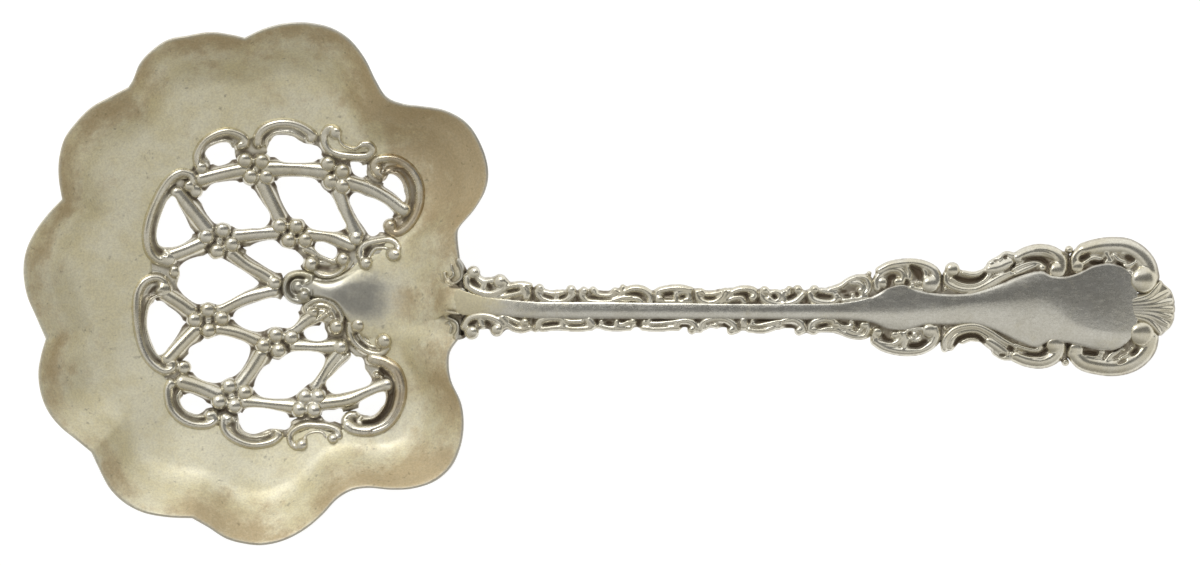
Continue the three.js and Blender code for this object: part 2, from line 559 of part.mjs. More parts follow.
function addBorder(name, outer, inner, arcs, knobs) {
  const edges = outer[0][1] > inner[0][1] ? [outer, inner] : [inner, outer];
  const parts = [strip(...edges, () => border_rise, handleSheet),
    ...knobs.map((at) => bead(at, scroll_rise, handleSheet)),
    ...arcs.map((arc) => chainArc(arc, outer, inner))];
  place(name, joined(parts), null, silver);
}

function addShell() {
  const ribs = shell_ribs.map((end) => stroke([shell_root, [(shell_root[0] + end[0]) / 2,
    (shell_root[1] + end[1]) / 2], end], rib_width, rib_rise, handleSheet));
  const fan = strip(shell_upper, shell_lower, () => shell_crown, handleSheet);
  place('shell_tip', joined([fan, ...ribs]), null, silver);
}

addClusters();
addRingScrolls();
addDrop();
addBars();
addBowl();
addHeadScrolls();
addStem();
addBorder('stem_border_upper', chain_upper, stem_upper, chain_upper_arcs, heel_knobs_upper);
addBorder('stem_border_lower', chain_lower, stem_lower, chain_lower_arcs, heel_knobs_lower);
addShell();

// The origin is under the middle of the spoon's box, on the table
const extent = new THREE.Box3().setFromObject(spoon);
const middle = extent.getCenter(new THREE.Vector3());
spoon.position.set(-middle.x, -middle.y, -extent.min.z);
spoon.updateMatrixWorld(true);

export default spoon;
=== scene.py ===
# A worn silver bonbon spoon, lying face up on a white floor and seen straight from above: a lobed
# bowl with the remains of a gilt wash, a floor pierced as a trellis of bars and beads inside a
# ring of scrolls, and a handle edged with small scrolls. Every element is drawn from above in mm,
# gets a relief of its own on the spoon's curved sheet, and stands for one CAD node.
import math

import bpy
import numpy as np
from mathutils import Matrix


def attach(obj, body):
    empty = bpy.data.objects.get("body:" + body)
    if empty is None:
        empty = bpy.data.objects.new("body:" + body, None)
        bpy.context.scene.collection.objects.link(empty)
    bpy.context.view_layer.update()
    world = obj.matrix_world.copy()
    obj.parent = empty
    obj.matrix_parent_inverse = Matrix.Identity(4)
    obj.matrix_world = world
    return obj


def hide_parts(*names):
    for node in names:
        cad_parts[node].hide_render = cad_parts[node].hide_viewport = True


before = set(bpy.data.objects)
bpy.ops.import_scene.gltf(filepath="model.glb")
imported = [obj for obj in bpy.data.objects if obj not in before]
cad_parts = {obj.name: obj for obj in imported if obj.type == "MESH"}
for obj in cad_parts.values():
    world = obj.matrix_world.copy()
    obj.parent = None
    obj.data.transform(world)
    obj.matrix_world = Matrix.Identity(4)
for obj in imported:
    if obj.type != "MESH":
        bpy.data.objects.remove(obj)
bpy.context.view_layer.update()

# Units and fineness
MM = 0.001
LATTICE = 0.1  # spacing of the relief's grid
LINE_STEP = 0.2  # spacing of the points along a drawn line
FAR = 9.0  # distance given to places that a form doesn't reach
MARGIN = 0.5  # how far a form's rule is worked out beyond its edge

# The photograph's view
PHOTO_WIDTH = 1200  # pixels
MM_PER_PIXEL = 0.107733
CAMERA_HEIGHT = 1800
PHOTO_PLANE = 4.0  # height at which the photograph's scale holds
SENSOR = 36

# The soft lamp beyond the dark patch overhead
LAMP_DIRECTION = (-0.2, 0.69, 0.69)
LAMP_OUTER = math.radians(18)
LAMP_INNER = math.radians(11)

# The spoon's sheet, as in the CAD
BOWL_MIDDLE = (-37.0, 0.0)
BOWL_GAUGE = 0.9
HANDLE_GAUGE = 1.9
REST_FLAT = 0.15
RIM_HEIGHT = 7.8
FLOOR_DISH = 2.4
TIP_X = 62.0
AXIS_Y = -2.75
CREST_X = 13.0
CREST_HEIGHT = 12.4
TIP_HEIGHT = 1.6
HANDLE_CAMBER = 0.012

# The bowl's wall
WALL_WIDTH = 5.8
HEEL_WALL_WIDTH = 8.0
HEEL_TURN = 0.5  # radians from the heel over which the wall narrows
WALL_CURVES = (0.85, 0.15)  # shares of an S curve and of a plain upward curve in the wall's climb
FLUTE_WIDTH = 3.2
FLUTE_DEPTH = 0.33
LOW_LOBES = (-20.0, -8.0)  # the flutes fade from the second y to the first
LOW_FLUTE = 0.4
SOFTENING = math.radians(6)  # blur of the rim's lobes, for the floor

# Relief
RIM_ROUND = 0.35
EDGE_ROUND = 0.25
STEM_EDGE = 0.03
SKIRT = 3  # slope of a form's side outside its edge
RIDGE_SHARE = 0.34  # rise of a ridge as a share of its width, over the base
RIDGE_BASE = 0.05
ROD_SHARE = 0.36
ROD_FOOT = 0.64  # half the width of a bar's rod at its foot, as a share of the bar's width
ROD_FILLET = 0.12
BEAD_SHARE = 0.85  # rise of a bead as a share of its radius
BEAD_RADIUS = 0.94
WEB_LEVEL = -0.18
WEB_WIDTH = 2.6
WEB_EDGE = -0.4
WEB_SINK = 0.04
THINNEST = 0.1
PIECE_STEP = 0.0008  # keeps the webs of neighbours from lying in exactly one plane
WEAR = 0.045  # how far the relief's creases and edges are worn soft
NO_SLIVERS = (0.04, 0.96)  # where the outline may cross a cell's side, as shares of the side

# Tarnish and painted shade
LOW_GROUND = -0.02  # relief below which the ground holds tarnish and painted shade
LOW_RANGE = 0.14
PIT_TARNISH_AND_SHADE = 2.2  # per mm of depth
MOST_TARNISH_AND_SHADE = 0.9
CREASES = [(0.22, 0.07, 0.25, 1.0), (0.6, 0.12, 0.4, 0.6)]  # blur, least depth, range and share
CREASE_BLUR = 0.09
BOWL_CREASE_BLUR = 0.25


# Lines and distances

def smooth_line(points, closed=False, step=LINE_STEP):
    """A smooth line through points, as an array of closer points."""
    points = np.array(points, dtype=float)
    if len(points) == 1:
        return np.vstack([points, points + 1e-4])
    if closed:
        padded = np.vstack([points[-1:], points, points[:2]])
    else:
        padded = np.vstack([2 * points[0] - points[1], points, 2 * points[-1] - points[-2]])
    rows = []
    for a, b, c, d in zip(padded[:-3], padded[1:-2], padded[2:-1], padded[3:]):
        # Spans weighted by the root of their length keep the line from swinging wide at corners
        before, here, after = (max(np.hypot(*(q - p)), 1e-6)**0.5 for p, q in ((a, b), (b, c), (c, d)))
        leave = (b - a) / before - (c - a) / (before + here) + (c - b) / here
        arrive = (c - b) / here - (d - b) / (here + after) + (d - c) / after
        leave, arrive = leave * here, arrive * here
        count = max(2, math.ceil(here**2 / step))
        t = (np.arange(count) / count)[:, None]
        rows.append((2 * t**3 - 3 * t**2 + 1) * b + (t**3 - 2 * t**2 + t) * leave
                    + (3 * t**2 - 2 * t**3) * c + (t**3 - t**2) * arrive)
    rows.append(points[:1] if closed else points[-1:])
    return np.vstack(rows)


def nearest(line, x, y):
    """Distance of places from a line, and the share of its length at the nearest point."""
    lengths = np.hypot(*np.diff(line, axis=0).T)
    best = np.full(x.shape, FAR**2)
    along = np.zeros(x.shape)
    done = 0.0
    for (ax, ay), (bx, by), length in zip(line[:-1], line[1:], lengths):
        ux, uy = bx - ax, by - ay
        t = np.clip(((x - ax) * ux + (y - ay) * uy) / max(length, 1e-9)**2, 0, 1)
        gap = (x - ax - t * ux)**2 + (y - ay - t * uy)**2
        closer = gap < best
        best = np.where(closer, gap, best)
        along = np.where(closer, (done + t * length) / lengths.sum(), along)
        done += length
    return np.sqrt(best), along


def within(outline, x, y):
    """Whether places lie inside a closed outline."""
    inside = np.zeros(x.shape, dtype=bool)
    for (ax, ay), (bx, by) in zip(outline, np.roll(outline, -1, axis=0)):
        if ay == by:
            continue
        crosses = (ay > y) != (by > y)
        inside ^= crosses & (x < ax + (y - ay) * (bx - ax) / (by - ay))
    return inside


def box_of(low, high, x, y):
    """Whether places lie in a box."""
    return (x > low[0]) & (x < high[0]) & (y > low[1]) & (y < high[1])


def blended(a, b, width):
    """The greater of two heights, with a small fillet between them."""
    mix = np.maximum(width - np.abs(a - b), 0) / width
    return np.maximum(a, b) + mix**2 * width / 4


def rounding(depth, radius):
    """How far a rounded edge lies below its face, by the depth inside the edge."""
    roll = np.clip(1 - depth / radius, 0, 1)
    return radius * (1 - np.sqrt(np.maximum(0, 1 - roll**2)))


# Forms: the shapes that the reliefs are made of

class Form:
    """A shape on the sheet. Its rule gives, for places near it, how far they lie outside its outline
    and how high it stands there, or how deep it goes if it is sunk."""

    def __init__(self, line, reach, rule, sunk=False):
        self.low = line.min(axis=0) - reach
        self.high = line.max(axis=0) + reach
        self.rule = rule
        self.sunk = sunk

    def at(self, x, y):
        close = box_of(self.low, self.high, x, y)
        gap = np.full(x.shape, FAR)
        height = np.full(x.shape, -FAR)
        if close.any():
            gap[close], height[close] = self.rule(x[close], y[close])
        return gap, height


def ridge(width, *points, rise=None, taper=0.0, power=0.9):
    """A rounded ridge along a line. Taper narrows it towards both ends."""
    line = smooth_line(points)
    top = RIDGE_SHARE * width + RIDGE_BASE if rise is None else rise

    def rule(x, y):
        gap, along = nearest(line, x, y)
        half = 0.5 * width * (1 - taper * np.abs(2 * along - 1)**3)
        share = np.clip(gap / half, 0, 1)
        return gap - half, top * (1 - share**2)**power - SKIRT * np.maximum(gap - half, 0)

    return Form(line, width / 2 + MARGIN, rule)


def knob(x, y, radius, rise=None):
    """A domed bead."""
    top = BEAD_SHARE * radius if rise is None else rise
    return ridge(2 * radius, (x, y), rise=top, power=0.5)


def flat(width, *points):
    """Flat low ground along a line."""
    line = smooth_line(points)

    def rule(x, y):
        gap, _ = nearest(line, x, y)
        return gap - width / 2, WEB_LEVEL - SKIRT * np.maximum(gap - width / 2, 0)

    return Form(line, width / 2 + MARGIN, rule)


def pad(*points, level=0.0):
    """Flat ground inside a closed smooth outline."""
    line = smooth_line(points, closed=True)

    def rule(x, y):
        gap, _ = nearest(line, x, y)
        gap = np.where(within(line, x, y), -gap, gap)
        return gap, level - SKIRT * np.maximum(gap, 0)

    return Form(line, MARGIN, rule)


def roof(width, web, *points):
    """A rounded bar whose sides slope on down to the edges of its web."""
    line = smooth_line(points)
    top = ROD_SHARE * width + RIDGE_BASE
    foot = ROD_FOOT * width

    def rule(x, y):
        gap, _ = nearest(line, x, y)
        rod = top * np.maximum(1 - (gap / foot)**2, 0)**0.7 - SKIRT * np.maximum(gap - foot, 0)
        side = WEB_EDGE * np.clip((gap - 0.5 * width) / (0.5 * web - 0.5 * width), 0, 2) - WEB_SINK
        return gap - web / 2, blended(rod, side, ROD_FILLET)

    return Form(line, web / 2 + MARGIN, rule)


def pit(width, *points, depth=0.3):
    """A soft hollow along a line, narrower at its ends, darkened with tarnish and painted shade."""
    line = smooth_line(points)

    def rule(x, y):
        gap, along = nearest(line, x, y)
        half = 0.5 * width * (1 - 0.3 * (2 * along - 1)**2)
        share = np.clip(gap / half, 0, 1)
        return gap, depth * (1 - share**2)**1.2

    return Form(line, width, rule, sunk=True)


def lay_out(forms, x, y):
    """Distance outside all raised forms, the relief above the sheet, and how deep it is dug."""
    edge = np.full(x.shape, FAR)
    relief = np.full(x.shape, -FAR)
    for form in forms:
        if not form.sunk:
            gap, height = form.at(x, y)
            edge = -blended(-edge, -gap, 0.3)
            relief = blended(relief, height, 0.1)
    dug = np.zeros(x.shape)
    for form in forms:
        if form.sunk:
            dug = np.maximum(dug, form.at(x, y)[1])
    return edge, relief - dug, dug


# The spoon's sheet

def turn_of(x, y):
    return np.arctan2(y - BOWL_MIDDLE[1], x - BOWL_MIDDLE[0])


def reach_of(x, y):
    """Distance from the bowl's middle."""
    return np.hypot(x - BOWL_MIDDLE[0], y - BOWL_MIDDLE[1])


def place_at(turn, reach):
    return BOWL_MIDDLE[0] + reach * np.cos(turn), BOWL_MIDDLE[1] + reach * np.sin(turn)


def around(line):
    """A function from angle to distance from the bowl's middle, for a closed line round it."""
    turns = turn_of(line[:, 0], line[:, 1])
    reach = reach_of(line[:, 0], line[:, 1])
    order = np.argsort(turns)
    turns, reach = turns[order], reach[order]
    turns = np.concatenate([turns - 2 * math.pi, turns, turns + 2 * math.pi])
    reach = np.tile(reach, 3)
    return lambda turn: np.interp(turn, turns, reach)


# Outline of the bowl, from the upper side of the heel round to its lower side. Each row is one
# smooth stretch, and the rows meet in the sharp notches of the left half.
LOBES = [
    [(-15, 2.3), (-15.3, 5), (-15.2, 5.8), (-13.5, 7.9), (-12.3, 10), (-12, 12), (-12.7, 14.7),
     (-14.3, 17.2), (-16.6, 18.55), (-19.3, 19.05), (-21, 19.25), (-22.9, 20), (-24.1, 21.8), (-25.3, 24.2),
     (-27, 26.3), (-29, 27.5), (-31.3, 28), (-32.4, 28.05), (-34.4, 27.85), (-36.3, 27.3), (-38.2, 26.4)],
    [(-38.2, 26.4), (-39.8, 26.75), (-41.9, 27), (-44.4, 26.6), (-46.4, 26.2), (-48.1, 25.1), (-49.5, 23.6),
     (-50.2, 21.9), (-50.7, 21.07)],
    [(-50.7, 21.07), (-52.55, 20.1), (-54.7, 18.9), (-56.4, 17.2), (-57.6, 15.5), (-58.2, 13.1),
     (-58.2, 11.2), (-57.85, 9)],
    [(-57.85, 9), (-59.3, 7.5), (-60.7, 5.6), (-61.65, 3.65), (-62, 1.5), (-61.65, -1.2), (-60.7, -3.5),
     (-59.6, -6)],
    [(-59.6, -6), (-60.1, -7.75), (-60.4, -9.7), (-60.1, -12), (-59.3, -13.9), (-58, -15.5), (-56.4, -16.8),
     (-54.7, -18.2)],
    [(-54.7, -18.2), (-53.9, -19.9), (-52.75, -22.05), (-51.2, -23.6), (-49.1, -24.7), (-46.4, -25.2),
     (-43.85, -25.3)],
    [(-43.85, -25.3), (-42.1, -26.3), (-40.2, -27.5), (-38.2, -28.05), (-36.3, -28.2), (-34, -27.7),
     (-31.7, -26.5), (-29.9, -25), (-28.2, -23.2), (-26.6, -22.3), (-24.9, -22.05), (-22.4, -22.25),
     (-20.05, -22.1), (-17.7, -21.3), (-16, -19.8), (-15.05, -17.8), (-14.65, -15.5), (-14.9, -13),
     (-16, -10.5), (-16.25, -8.9), (-16.1, -7.4), (-15, -5.8)],
]

# Inner edge of the bowl's own sheet, under the ring of scrolls and the tongue
FIELD_EDGE = [
    (-44.6, 11.2), (-43.4, 13.2), (-42.8, 15), (-40.4, 16.1), (-38.2, 15.4), (-36.6, 15.9), (-34.4, 16.9),
    (-31.6, 16.2), (-30, 15.8), (-29.3, 14.6), (-27, 13.9), (-24.9, 14.2), (-23.9, 13.5), (-21.8, 13.1),
    (-20, 11.7), (-19.4, 9.6), (-20, 7.2), (-21.6, 5.6), (-23, 4.5), (-24.6, 4), (-25, 1.6), (-25.4, -1.2),
    (-25.6, -4), (-24.9, -6.4), (-24, -8), (-22.2, -9), (-21.4, -11), (-21.6, -13.4), (-23, -15.2),
    (-25.4, -15.7), (-27.4, -15.6), (-28.6, -16.2), (-31, -15.6), (-33.2, -16.4), (-34.6, -16.8),
    (-37.4, -17.2), (-39.6, -16.4), (-40.6, -15.4), (-43, -15.1), (-45.6, -14.2), (-46.5, -12.4),
    (-46.6, -10.6), (-48.2, -8.6), (-49.6, -5.8), (-49.9, -2.4), (-49, 0.2), (-48.3, 1.4), (-48.4, 2.8),
    (-49, 4.2), (-48.7, 7), (-47.4, 9.8), (-46, 11.2),
]

# Holes of the openwork
HOLES = [
    [(-46.15, 9.35), (-46.65, 8.9), (-47.1, 8), (-47.5, 6.9), (-47.78, 5.8), (-47.82, 4.8), (-47.5, 4.05),
     (-46.6, 3.87), (-45.6, 4), (-44.6, 4.5), (-44.05, 5), (-44.15, 5.7), (-44.5, 6.6), (-45, 7.6),
     (-45.5, 8.5), (-45.8, 9.15)],
    [(-42.6, 14), (-42.3, 14.5), (-41.7, 14.85), (-40.9, 15.12), (-40.1, 15.1), (-39.7, 14.6),
     (-39.52, 13.9), (-39.9, 13.1), (-40.5, 12.8), (-41.2, 12.65), (-41.8, 12.9), (-42.25, 13.35)],
    [(-35.92, 14.35), (-35.75, 14.9), (-35.4, 15.5), (-35.1, 15.85), (-34.3, 15.97), (-33.1, 15.78),
     (-32.5, 15.4), (-31.9, 15.08), (-31, 14.9), (-30.35, 14.65), (-30.03, 14.1), (-30.3, 13.5),
     (-30.9, 13.1), (-32.5, 12.98), (-34.2, 13.1), (-35.1, 13.6), (-35.7, 13.95)],
    [(-26.9, 13), (-26.3, 13.05), (-25.75, 12.9), (-25.5, 12.3), (-25.3, 11.6), (-25.6, 11.38),
     (-26.2, 11.55), (-26.6, 11.85), (-26.8, 12.4)],
    [(-23.38, 10.55), (-22.9, 11.1), (-22.4, 11.47), (-21.9, 11.25), (-21.45, 10.6), (-21.1, 9.8),
     (-20.97, 9.1), (-21.15, 8.75), (-21.6, 9.15), (-22.3, 9.75), (-22.9, 10.15)],
    [(-26.4, 9.75), (-26.95, 9.3), (-27, 8.8), (-26.6, 7.8), (-26.1, 6.9), (-25.4, 5.9), (-24.85, 5.15),
     (-24.4, 5.07), (-23.85, 5.4), (-23.6, 6.1), (-23.2, 6.75), (-22.5, 7.15), (-22.25, 7.45),
     (-22.7, 8.05), (-23.3, 8.55), (-24.2, 9.02), (-25.2, 9.35)],
    [(-42.35, 10.2), (-41.9, 10.65), (-41, 10.88), (-40, 11), (-39.2, 11), (-38.75, 10.7), (-38.2, 10.3),
     (-37.4, 10.08), (-36.85, 9.3), (-36.3, 8.45), (-35.75, 7.7), (-35.6, 7), (-35.85, 6.4), (-36.4, 6),
     (-37.6, 5.9), (-39.1, 5.85), (-39.6, 6.1), (-40.1, 6.4), (-40.8, 6.55), (-41.5, 6.42), (-42.1, 7),
     (-42.7, 7.9), (-42.98, 8.7), (-42.75, 9.6)],
    [(-34.65, 11.3), (-33.8, 11.45), (-32, 11.43), (-30.8, 11.2), (-30.4, 10.85), (-30.2, 10.3),
     (-29.9, 9.95), (-29.25, 9.72), (-28.8, 9.1), (-28.3, 8), (-27.8, 7), (-27.42, 6.1), (-28.3, 5.6),
     (-29.6, 5.6), (-31.2, 5.93), (-31.7, 6.35), (-32.1, 6.88), (-33.2, 7.03), (-33.8, 7.75), (-34.4, 8.9),
     (-34.8, 10.1), (-34.88, 10.9)],
    [(-45.62, -0.3), (-45.5, 0.4), (-45.32, 1), (-45.4, 1.6), (-45, 2.15), (-44.2, 2.6), (-43.2, 2.88),
     (-42.4, 2.92), (-42, 2.65), (-41.5, 2.55), (-40.9, 2.68), (-40.2, 2.35), (-39.2, 1.75), (-38.1, 1.05),
     (-37.2, 0.4), (-36.85, 0), (-37.3, -0.45), (-38.3, -0.9), (-39.2, -1.4), (-40.2, -1.95),
     (-41.1, -2.33), (-41.6, -2.25), (-42.3, -2.05), (-43, -2.25), (-43.5, -2.25), (-44.3, -1.8),
     (-45.1, -1.1)],
    [(-38.2, 3.2), (-38, 3.75), (-37.4, 4.2), (-36.4, 4.52), (-35.1, 4.6), (-34.7, 4.3), (-34.3, 3.9),
     (-33.6, 3.68), (-33, 3.55), (-32.4, 3.1), (-31.98, 2.5), (-32.2, 2), (-33, 1.55), (-34, 1.2),
     (-34.9, 1.12), (-35.7, 1.5), (-36.6, 2.05), (-37.6, 2.7)],
    [(-39.58, -3.5), (-39.2, -2.95), (-38.3, -2.5), (-37, -2.05), (-35.8, -1.68), (-35, -1.62), (-34, -2.1),
     (-33.2, -2.55), (-32.7, -3.05), (-32.45, -3.6), (-32.8, -4.3), (-33.4, -4.78), (-34.2, -4.83),
     (-34.9, -4.7), (-35.5, -4.78), (-36.2, -5.12), (-37, -5.25), (-38.2, -4.95), (-39.1, -4.45),
     (-39.5, -4)],
    [(-30.65, 4.35), (-29.9, 4.42), (-29.1, 4.15), (-28.45, 3.75), (-28.4, 3.2), (-28.8, 2.62),
     (-29.5, 2.8), (-30.3, 3.2), (-30.75, 3.7)],
    [(-31.95, -5.2), (-31.3, -4.75), (-30.5, -4.62), (-29.95, -4.75), (-29.5, -5.3), (-29.45, -5.9),
     (-30, -6.2), (-31, -6.22), (-31.6, -6), (-31.9, -5.6)],
    [(-44.35, -7.1), (-43.6, -6.55), (-42.6, -6.18), (-41.8, -5.88), (-41.2, -5.65), (-40.6, -5.68),
     (-39.5, -5.95), (-38.3, -6.4), (-37.8, -6.85), (-37.85, -7.7), (-38.3, -8.7), (-38.9, -9.55),
     (-39.5, -10.05), (-40.2, -10.25), (-40.8, -10.6), (-41.4, -10.77), (-42.5, -10.6), (-43.4, -10.2),
     (-43.95, -9.6), (-44.15, -8.7), (-44.35, -7.9)],
    [(-33.3, -7.45), (-32.2, -7.35), (-31, -7.4), (-30.1, -7.6), (-29.7, -8), (-29.85, -8.9), (-30.4, -9.8),
     (-31, -10.6), (-31.6, -11), (-32.2, -11.5), (-33, -12.15), (-33.7, -12.4), (-35.2, -12.45),
     (-36.6, -12.2), (-37.2, -11.7), (-37.3, -10.9), (-36.9, -9.9), (-36.2, -9), (-35.4, -8.6),
     (-34.6, -8.3), (-34, -7.85)],
    [(-23.25, -11.8), (-23.9, -11.85), (-24.6, -12.15), (-25.3, -12.5), (-25.9, -12.9), (-26, -13.4),
     (-25.7, -13.85), (-25.1, -13.92), (-24.3, -13.7), (-23.6, -13.4), (-23.25, -13), (-23.1, -12.4)],
    [(-26.3, -8), (-25.65, -8.1), (-25.42, -8.6), (-25.35, -9.25), (-24.9, -9.9), (-24.62, -10.5),
     (-25, -11), (-26.2, -11.45), (-27.5, -11.8), (-28.6, -11.95), (-29.1, -11.75), (-29.5, -11.2),
     (-29.5, -10.6), (-28.8, -9.9), (-28, -9.1), (-27.2, -8.4)],
    [(-29.9, -13.85), (-29.3, -13.72), (-28.6, -13.7), (-28.05, -13.52), (-27.75, -13.75), (-27.9, -14.25),
     (-28.3, -14.7), (-28.95, -14.97), (-29.7, -14.75), (-29.98, -14.3)],
    [(-45.3, -12.6), (-44.9, -12.15), (-44.3, -11.9), (-43.5, -12.2), (-42.7, -12.6), (-42.38, -13.15),
     (-42.7, -13.75), (-43.4, -14.15), (-44.2, -13.95), (-44.9, -13.5)],
    [(-38.65, -14.2), (-38.25, -13.6), (-37.6, -13.45), (-36.2, -13.52), (-34.8, -13.78), (-33.8, -14.1),
     (-33.45, -14.8), (-33.4, -15.4), (-33.9, -15.8), (-34.8, -15.72), (-35.6, -15.72), (-36.5, -16.05),
     (-37.4, -16.28), (-38.3, -16), (-38.8, -15.3)],
    [(-47.9, -1.98), (-47.3, -1.97), (-46.6, -2.5), (-45.7, -3.15), (-45.15, -3.75), (-45.05, -4.4),
     (-45.4, -5.25), (-45.9, -6.05), (-46.5, -6.85), (-47.1, -7.55), (-47.6, -7.75), (-48.1, -7),
     (-48.55, -5.9), (-48.85, -4.7), (-48.8, -3.4), (-48.5, -2.4)],
]

rim_line = np.vstack([smooth_line(row)[:-1] for row in LOBES] + [np.array([LOBES[-1][-1]])])
hole_lines = [smooth_line(hole, closed=True) for hole in HOLES]
rim_reach = around(rim_line)
field_reach = around(np.array(FIELD_EDGE))

# The rim without its notches, for the floor
circle = np.linspace(-math.pi, math.pi, 1441)[:-1]
spread = np.linspace(-3, 3, 145)
weights = np.exp(-0.5 * spread**2)
soft_samples = sum(w * rim_reach(circle + s * SOFTENING) for w, s in zip(weights, spread)) / weights.sum()
soft_reach = around(np.column_stack(place_at(circle, soft_samples)))


def bowl_face(x, y):
    """Height of the bowl's inner face."""
    turn = turn_of(x, y)
    reach, soft = rim_reach(turn), soft_reach(turn)
    r = np.minimum(reach_of(x, y), reach)
    heel = np.exp(-(turn / HEEL_TURN)**2)
    wall = WALL_WIDTH + (HEEL_WALL_WIDTH - WALL_WIDTH) * heel
    lowest = BOWL_GAUGE - REST_FLAT
    dish, dish_at_rim = (lowest + FLOOR_DISH * (at / (soft - WALL_WIDTH))**2 for at in (r, reach))
    foot = 0.5 * (reach + soft) - wall
    climb = np.clip((r - foot) / (reach - foot), 0, 1)
    climb = WALL_CURVES[0] * climb**2 * (3 - 2 * climb) + WALL_CURVES[1] * climb**1.5
    flute = np.sin(math.pi * np.clip((reach - r) / FLUTE_WIDTH, 0, 1))**2 * (1 - heel)
    flute *= np.interp(y, LOW_LOBES, (LOW_FLUTE, 1.0))
    return dish + (RIM_HEIGHT - dish_at_rim) * climb - FLUTE_DEPTH * flute


def bowl_under(x, y):
    """Height of the bowl's underside."""
    probe = 0.2
    face = bowl_face(x, y)
    slope_x = (bowl_face(x + probe, y) - bowl_face(x - probe, y)) / (2 * probe)
    slope_y = (bowl_face(x, y + probe) - bowl_face(x, y - probe)) / (2 * probe)
    return np.maximum(0, face - BOWL_GAUGE * np.sqrt(1 + np.minimum(slope_x**2 + slope_y**2, 2)))


def handle_face(x, y):
    fall = (CREST_HEIGHT - TIP_HEIGHT) / (TIP_X - CREST_X)**2
    return CREST_HEIGHT - fall * (x - CREST_X)**2 - HANDLE_CAMBER * (y - AXIS_Y)**2


def handle_under(x, y):
    return np.maximum(0, handle_face(x, y) - HANDLE_GAUGE)


# Meshes from reliefs

lattice_low = np.array([-63.5, -29.5])
lattice_size = (1281, 591)
ground = np.full(lattice_size[::-1], np.nan)  # highest face of all pieces, on the whole lattice
soil_and_shade = np.zeros(lattice_size[::-1])  # tarnish and painted shade in pits and on low ground
pieces = []


def lattice_places(columns, rows):
    """The places of some of the lattice's columns and rows, as grids of x and y."""
    return np.meshgrid(lattice_low[0] + columns * LATTICE, lattice_low[1] + rows * LATTICE)


def in_hole(x, y):
    """How far places lie inside the nearest hole of the openwork, negative outside."""
    depth = np.full(x.shape, -FAR)
    for line in hole_lines:
        close = box_of(line.min(axis=0) - MARGIN, line.max(axis=0) + MARGIN, x, y)
        if close.any():
            gap, _ = nearest(line, x[close], y[close])
            depth[close] = np.maximum(depth[close], np.where(within(line, x[close], y[close]), gap, -gap))
    return depth


def cut_out(x, y, edge):
    """The points of the lattice inside an outline, and then the points where the outline crosses it,
    with the polygons between them and the pairs that the walls stand on."""
    inside = edge < 0
    node_id = np.where(inside, np.cumsum(inside.ravel()).reshape(inside.shape) - 1, -1)
    points = [np.column_stack([x[inside], y[inside]])]
    count = len(points[0])
    crossing = []
    for step in ((0, 1), (1, 0)):
        a = (slice(0, x.shape[0] - step[0]), slice(0, x.shape[1] - step[1]))
        b = (slice(step[0], None), slice(step[1], None))
        cut = inside[a] != inside[b]
        share = np.clip(edge[a] / np.where(cut, edge[a] - edge[b], 1), *NO_SLIVERS)
        px = x[a] + share * (x[b] - x[a])
        py = y[a] + share * (y[b] - y[a])
        crossing.append(np.where(cut, count + np.cumsum(cut.ravel()).reshape(cut.shape) - 1, -1))
        points.append(np.column_stack([px[cut], py[cut]]))
        count += int(cut.sum())

    # Polygons of each cell, by which of its corners are inside
    corner = [inside[:-1, :-1], inside[:-1, 1:], inside[1:, 1:], inside[1:, :-1]]
    corner_id = [node_id[:-1, :-1], node_id[:-1, 1:], node_id[1:, 1:], node_id[1:, :-1]]
    side_id = [crossing[0][:-1, :], crossing[1][:, 1:], crossing[0][1:, :], crossing[1][:, :-1]]
    case = sum(c.astype(int) << k for k, c in enumerate(corner))
    faces, walls = {}, []
    for pattern in range(1, 16):
        cells = case == pattern
        if not cells.any():
            continue
        ring = []
        for k in range(4):
            here, there = pattern >> k & 1, pattern >> (k + 1) % 4 & 1
            if here:
                ring.append(("corner", corner_id[k][cells]))
            if here != there:
                ring.append(("side", side_id[k][cells]))
        faces.setdefault(len(ring), []).append(np.column_stack([ids for _, ids in ring]))
        for (kind, ids), (next_kind, next_ids) in zip(ring, ring[1:] + ring[:1]):
            if kind == next_kind == "side":
                walls.append(np.column_stack([next_ids, ids]))
    return np.vstack(points), [np.vstack(rings) for rings in faces.values()], np.vstack(walls)


